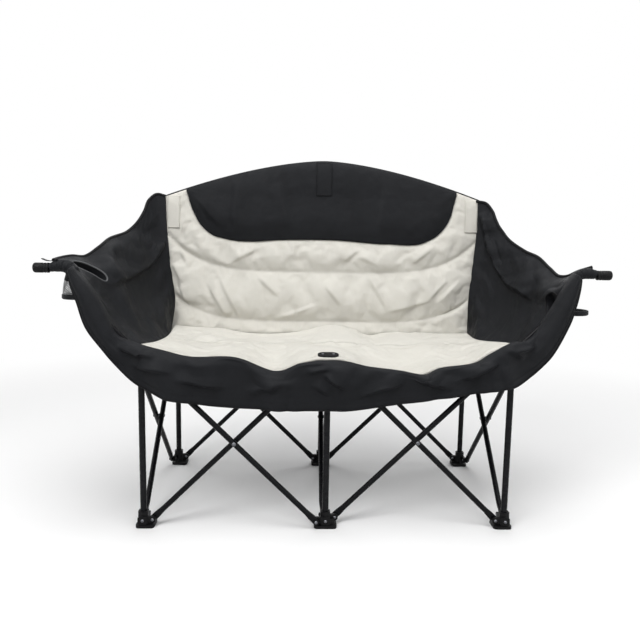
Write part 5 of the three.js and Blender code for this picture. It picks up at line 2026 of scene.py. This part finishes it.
@dataclass
class ArmSleeve:
    """The cloth that gathers to a funnel on each arm tube, up to its handle."""

    tubes: TubeFrame
    end_x: float = 0.664
    under: float = 0.0095  # from the tube's axis to the cloth below it
    wall: float = 0.0022
    rows: int = 64
    # From the tube's axis to the cloth above it, along the sleeve
    left_rise: Line = ((0.0, 0.013), (0.35, 0.022), (0.70, 0.021), (0.92, 0.014), (1.0, 0.0105))
    right_rise: Line = ((0.0, 0.012), (0.35, 0.014), (0.70, 0.017), (0.92, 0.015), (1.0, 0.0105))
    # The left arm's webbing tab: X and height along it, and half its width
    tab: Line = ((-0.644, 0.6705), (-0.658, 0.6672), (-0.671, 0.6680), (-0.682, 0.6722))
    tab_half: float = 0.006

    def build_sleeve(self, side: Side, rise: Sequence[Spot]) -> None:
        """Build the sleeve of one arm.

        Args:
            side: Which arm.
            rise: How far the cloth stands above the tube, along the sleeve.
        """
        bend = self.tubes.bend(np.linspace(0.25, 1, 40))
        end = np.array([[self.end_x - PIVOT_REACH, bend[-1, 1]]])
        share = np.linspace(0, 1, self.rows)
        run, height = path_through(np.concatenate([bend, end]), share).T
        out = Heading.LEFT if side is Side.LEFT else Heading.RIGHT
        origin = (side.value * PIVOT_REACH, FRONT_ROW_Y + side.value * ARM_PLANE)
        above = through(share, rise) + 0.0009 * np.sin(share * 46 + side.value) + 0.0006 * np.sin(share * 97 + 1.3)
        half = self.under + 0.4 * (above - self.under)
        sizes = np.column_stack([run, height + (above - self.under) / 2, half, (above + self.under) / 2, 0 * run])
        inside = sizes - [0, 0, self.wall, self.wall, 0]
        shape = np.concatenate([self.tubes.swept(sizes, origin, out), self.tubes.swept(inside, origin, out)[::-1]])
        name = f"{side.word}_arm_sleeve_sewn"
        piece = closed(name, shape.reshape(-1, 3), loft(shape, closed_ends=False), BLACK)
        reach = float(np.hypot(np.diff(run), np.diff(height)).sum())
        girth = float(math.pi * (half + sizes[:, 3]).mean())
        length = np.concatenate([share, share[::-1]])[:, None] * reach
        around = np.linspace(0, girth, self.tubes.sides)[None, :]
        store(piece, "cloth", np.stack(np.broadcast_arrays(around, length, 0.0), axis=-1).reshape(-1, 3))
        mount(piece, f"{side.word}_arm", BLACK, f"{side.word}_arm_sleeve")

    def build_tab(self) -> None:
        """Build the short webbing tab on the left arm."""

        def strip(across: Array, up: Array) -> Array:
            """Points along and across the tab."""
            x, z = path_through(self.tab, across.ravel()).T.reshape(2, *across.shape)
            return np.stack([x, FRONT_ROW_Y - ARM_PLANE + self.tab_half * (1 - 2 * up), z], axis=-1)

        sheet = Sheet.drawn(7, 19, strip)
        piece = sheet.shell("left_arm_tab", 0.0016, BLACK)
        mount(piece, "left_arm", BLACK)

    def build(self) -> None:
        """Build both sleeves and the tab."""
        self.build_sleeve(Side.LEFT, self.left_rise)
        self.build_sleeve(Side.RIGHT, self.right_rise)
        self.build_tab()


# Camera and studio


@dataclass
class Studio:
    """The camera, a pale floor, a white surround and soft lamps."""

    eye: Point = (-0.068, -1.748, 0.726)
    lens: float = 35.38
    turn: float = -1.73
    pitch: float = 7.25
    roll: float = 0.97
    world_strength: float = 0.28
    floor_radius: float = 40.0
    floor_shade: float = 0.93
    floor_bounce: float = 0.45  # the share of light that it throws back onto the object
    # Lamps: name, place, aim, size and watts
    lamps: tuple[tuple[str, Point, Point, float, float], ...] = (
        ("sky", (0.2, -0.7, 3.3), (0.0, 0.0, 0.4), 2.6, 60.0),
        ("key", (-1.6, -2.4, 3.0), (0.0, 0.0, 0.5), 1.8, 70.0),
        ("fill", (2.2, -2.2, 2.0), (0.0, 0.0, 0.5), 2.4, 20.0),
        ("rear", (0.3, 2.6, 2.6), (0.0, 0.1, 0.6), 2.2, 34.0),
    )

    def build_camera(self) -> None:
        """Set the camera at the photograph's view."""
        turns = ((self.turn, "Z"), (90 - self.pitch, "X"), (self.roll, "Z"))
        turn, tilt, roll = (Matrix.Rotation(math.radians(angle), 4, axis) for angle, axis in turns)
        data = bpy.data.cameras.new("camera")
        data.sensor_width = 36.0
        data.lens = self.lens
        camera = bpy.data.objects.new("camera", data)
        camera.matrix_world = Matrix.Translation(self.eye) @ turn @ tilt @ roll
        bpy.context.scene.collection.objects.link(camera)
        bpy.context.scene.camera = camera

    def build_floor(self) -> None:
        """Lay the floor, which fades to the white surround away from the object."""
        points, faces = turned([(self.floor_radius, -0.02), (self.floor_radius, -0.0005)], 96)
        floor = new_object("floor", points, faces, [])
        shader = Shader("pale_floor")
        place = shader.node("ShaderNodeTexCoord").outputs["Object"]
        away = shader.node("ShaderNodeVectorMath", {"Vector": place}, operation="LENGTH").outputs["Value"]
        fade = {"Value": away, "From Min": 1.1, "From Max": 2.6}
        far = shader.node("ShaderNodeMapRange", fade, interpolation_type="SMOOTHSTEP").outputs["Result"]
        seen = self.seen_directly(shader)
        white = shader.node("ShaderNodeEmission", {"Color": (1.0, 1.0, 1.0, 1.0), "Strength": 1.0})
        mix = shader.node("ShaderNodeMixShader", {"Fac": shader.calc("MULTIPLY", far, seen)})
        shade = {"Value": seen, "To Min": self.floor_bounce, "To Max": self.floor_shade}
        pale = shader.node("ShaderNodeMapRange", shade).outputs["Result"]
        shader.dress(Base_Color=shader.scaled((1.0, 1.0, 1.0), pale), Roughness=0.8)
        shader.feed(mix.inputs[1], shader.surface.outputs["BSDF"])
        shader.feed(mix.inputs[2], white.outputs["Emission"])
        shader.feed(shader.tree.nodes["Material Output"].inputs["Surface"], mix.outputs["Shader"])
        floor.data.materials.append(shader.material)

    @staticmethod
    def seen_directly(nodes: Nodes) -> Socket:
        """Tell rays that show the surround, straight or in a reflection, from those that light the object.

        Args:
            nodes: The tree that asks.

        Returns:
            The socket of a number that is 1 for the rays that show it.
        """
        path = nodes.node("ShaderNodeLightPath")
        total = path.outputs["Is Camera Ray"]
        for name in ("Is Glossy Ray", "Is Transmission Ray"):
            total = nodes.calc("MAXIMUM", total, path.outputs[name])
        return total

    def build_light(self) -> None:
        """Light the object from a pale sky and soft lamps."""
        world = bpy.data.worlds.new("surround")
        bpy.context.scene.world = world
        world.use_nodes = True
        nodes, sky = Nodes(world.node_tree), world.node_tree.nodes["Background"]
        limits = {"Value": self.seen_directly(nodes), "To Min": self.world_strength, "To Max": 1.0}
        nodes.feed(sky.inputs["Strength"], nodes.node("ShaderNodeMapRange", limits).outputs["Result"])
        nodes.feed(sky.inputs["Color"], (1.0, 1.0, 1.0, 1.0))
        for name, place, aim, size, watts in self.lamps:
            data = bpy.data.lights.new(name, "AREA")
            data.shape = "DISK"
            data.size = size
            data.energy = watts
            lamp = bpy.data.objects.new(name, data)
            lamp.location = place
            lamp.rotation_euler = (Vector(aim) - Vector(place)).to_track_quat("-Z", "Y").to_euler()
            bpy.context.scene.collection.objects.link(lamp)
        bpy.context.scene.view_settings.view_transform = "Standard"

    def build(self) -> None:
        """Build the camera, floor and light."""
        self.build_camera()
        self.build_floor()
        self.build_light()


LEFT_WING = Wing(
    side=Side.LEFT,
    top=(
        (-0.486, 0.433, 0.851), (-0.509, 0.428, 0.856), (-0.529, 0.405, 0.838), (-0.538, 0.380, 0.803),
        (-0.546, 0.355, 0.778), (-0.566, 0.285, 0.739), (-0.594, 0.200, 0.716), (-0.606, 0.150, 0.693),
        (-0.627, 0.105, 0.672), (-0.645, 0.070, 0.675), (-0.658, 0.030, 0.672), (-0.661, -0.006, 0.668),
    ),
    front=(
        (-0.458, -0.006, 0.444), (-0.508, -0.008, 0.480), (-0.551, -0.008, 0.534), (-0.579, -0.007, 0.592),
        (-0.600, -0.006, 0.627), (-0.632, -0.006, 0.652), (-0.661, -0.006, 0.668),
    ),
    bottom=(
        (-0.468, 0.392, 0.438), (-0.441, 0.250, 0.438), (-0.435, 0.150, 0.438), (-0.440, 0.060, 0.442),
        (-0.458, -0.006, 0.444),
    ),
    rear=(
        (-0.468, 0.392, 0.438), (-0.456, 0.402, 0.538), (-0.465, 0.410, 0.610), (-0.481, 0.423, 0.749),
        (-0.486, 0.433, 0.851),
    ),
    folds=((-0.558, 0.602, -0.515, 0.660), (-0.524, 0.648, -0.492, 0.712)),
    cup=(0.850, 0.815),
    cup_half=(0.048, 0.020),
    cup_turn=52.0,
    basket=(0.626, 0.5725),
    collar=0.5,
    trim=GREY_TAPE,
)
RIGHT_WING = Wing(
    side=Side.RIGHT,
    top=(
        (0.468, 0.433, 0.852), (0.495, 0.428, 0.848), (0.514, 0.408, 0.822), (0.533, 0.370, 0.768),
        (0.550, 0.325, 0.730), (0.574, 0.270, 0.702), (0.592, 0.210, 0.685), (0.607, 0.160, 0.655),
        (0.615, 0.110, 0.636), (0.624, 0.080, 0.639), (0.640, 0.050, 0.655), (0.661, 0.030, 0.667),
    ),
    front=(
        (0.464, 0.012, 0.450), (0.532, 0.028, 0.462), (0.579, 0.028, 0.530), (0.600, 0.029, 0.590),
        (0.611, 0.030, 0.622), (0.638, 0.030, 0.650), (0.661, 0.030, 0.667),
    ),
    bottom=(
        (0.448, 0.392, 0.434), (0.427, 0.250, 0.434), (0.424, 0.160, 0.434), (0.438, 0.060, 0.446),
        (0.464, 0.012, 0.450),
    ),
    rear=(
        (0.448, 0.392, 0.434), (0.450, 0.402, 0.554), (0.461, 0.413, 0.656), (0.471, 0.424, 0.765),
        (0.468, 0.433, 0.852),
    ),
    folds=(
        (0.484, 0.811, 0.503, 0.740), (0.500, 0.747, 0.516, 0.680), (0.513, 0.690, 0.541, 0.603),
        (0.535, 0.615, 0.564, 0.572),
    ),
    cup=(0.915, 0.655),
    cup_half=(0.042, 0.022),
    cup_turn=116.0,
    basket=(0.624, 0.5500),
    collar=0.55,
    trim=BLACK_THREAD,
)


def main() -> None:
    """Build the loveseat and its studio."""
    logging.basicConfig(level=logging.INFO, format="%(name)s: %(message)s")
    tubes = TubeFrame()
    for part in (Studio(), tubes, Mouldings(), Back(), Seat(), Apron(), LEFT_WING, RIGHT_WING, ArmSleeve(tubes)):
        LOG.info("building %s", type(part).__name__)
        part.build()


if __name__ == "__main__":
    main()
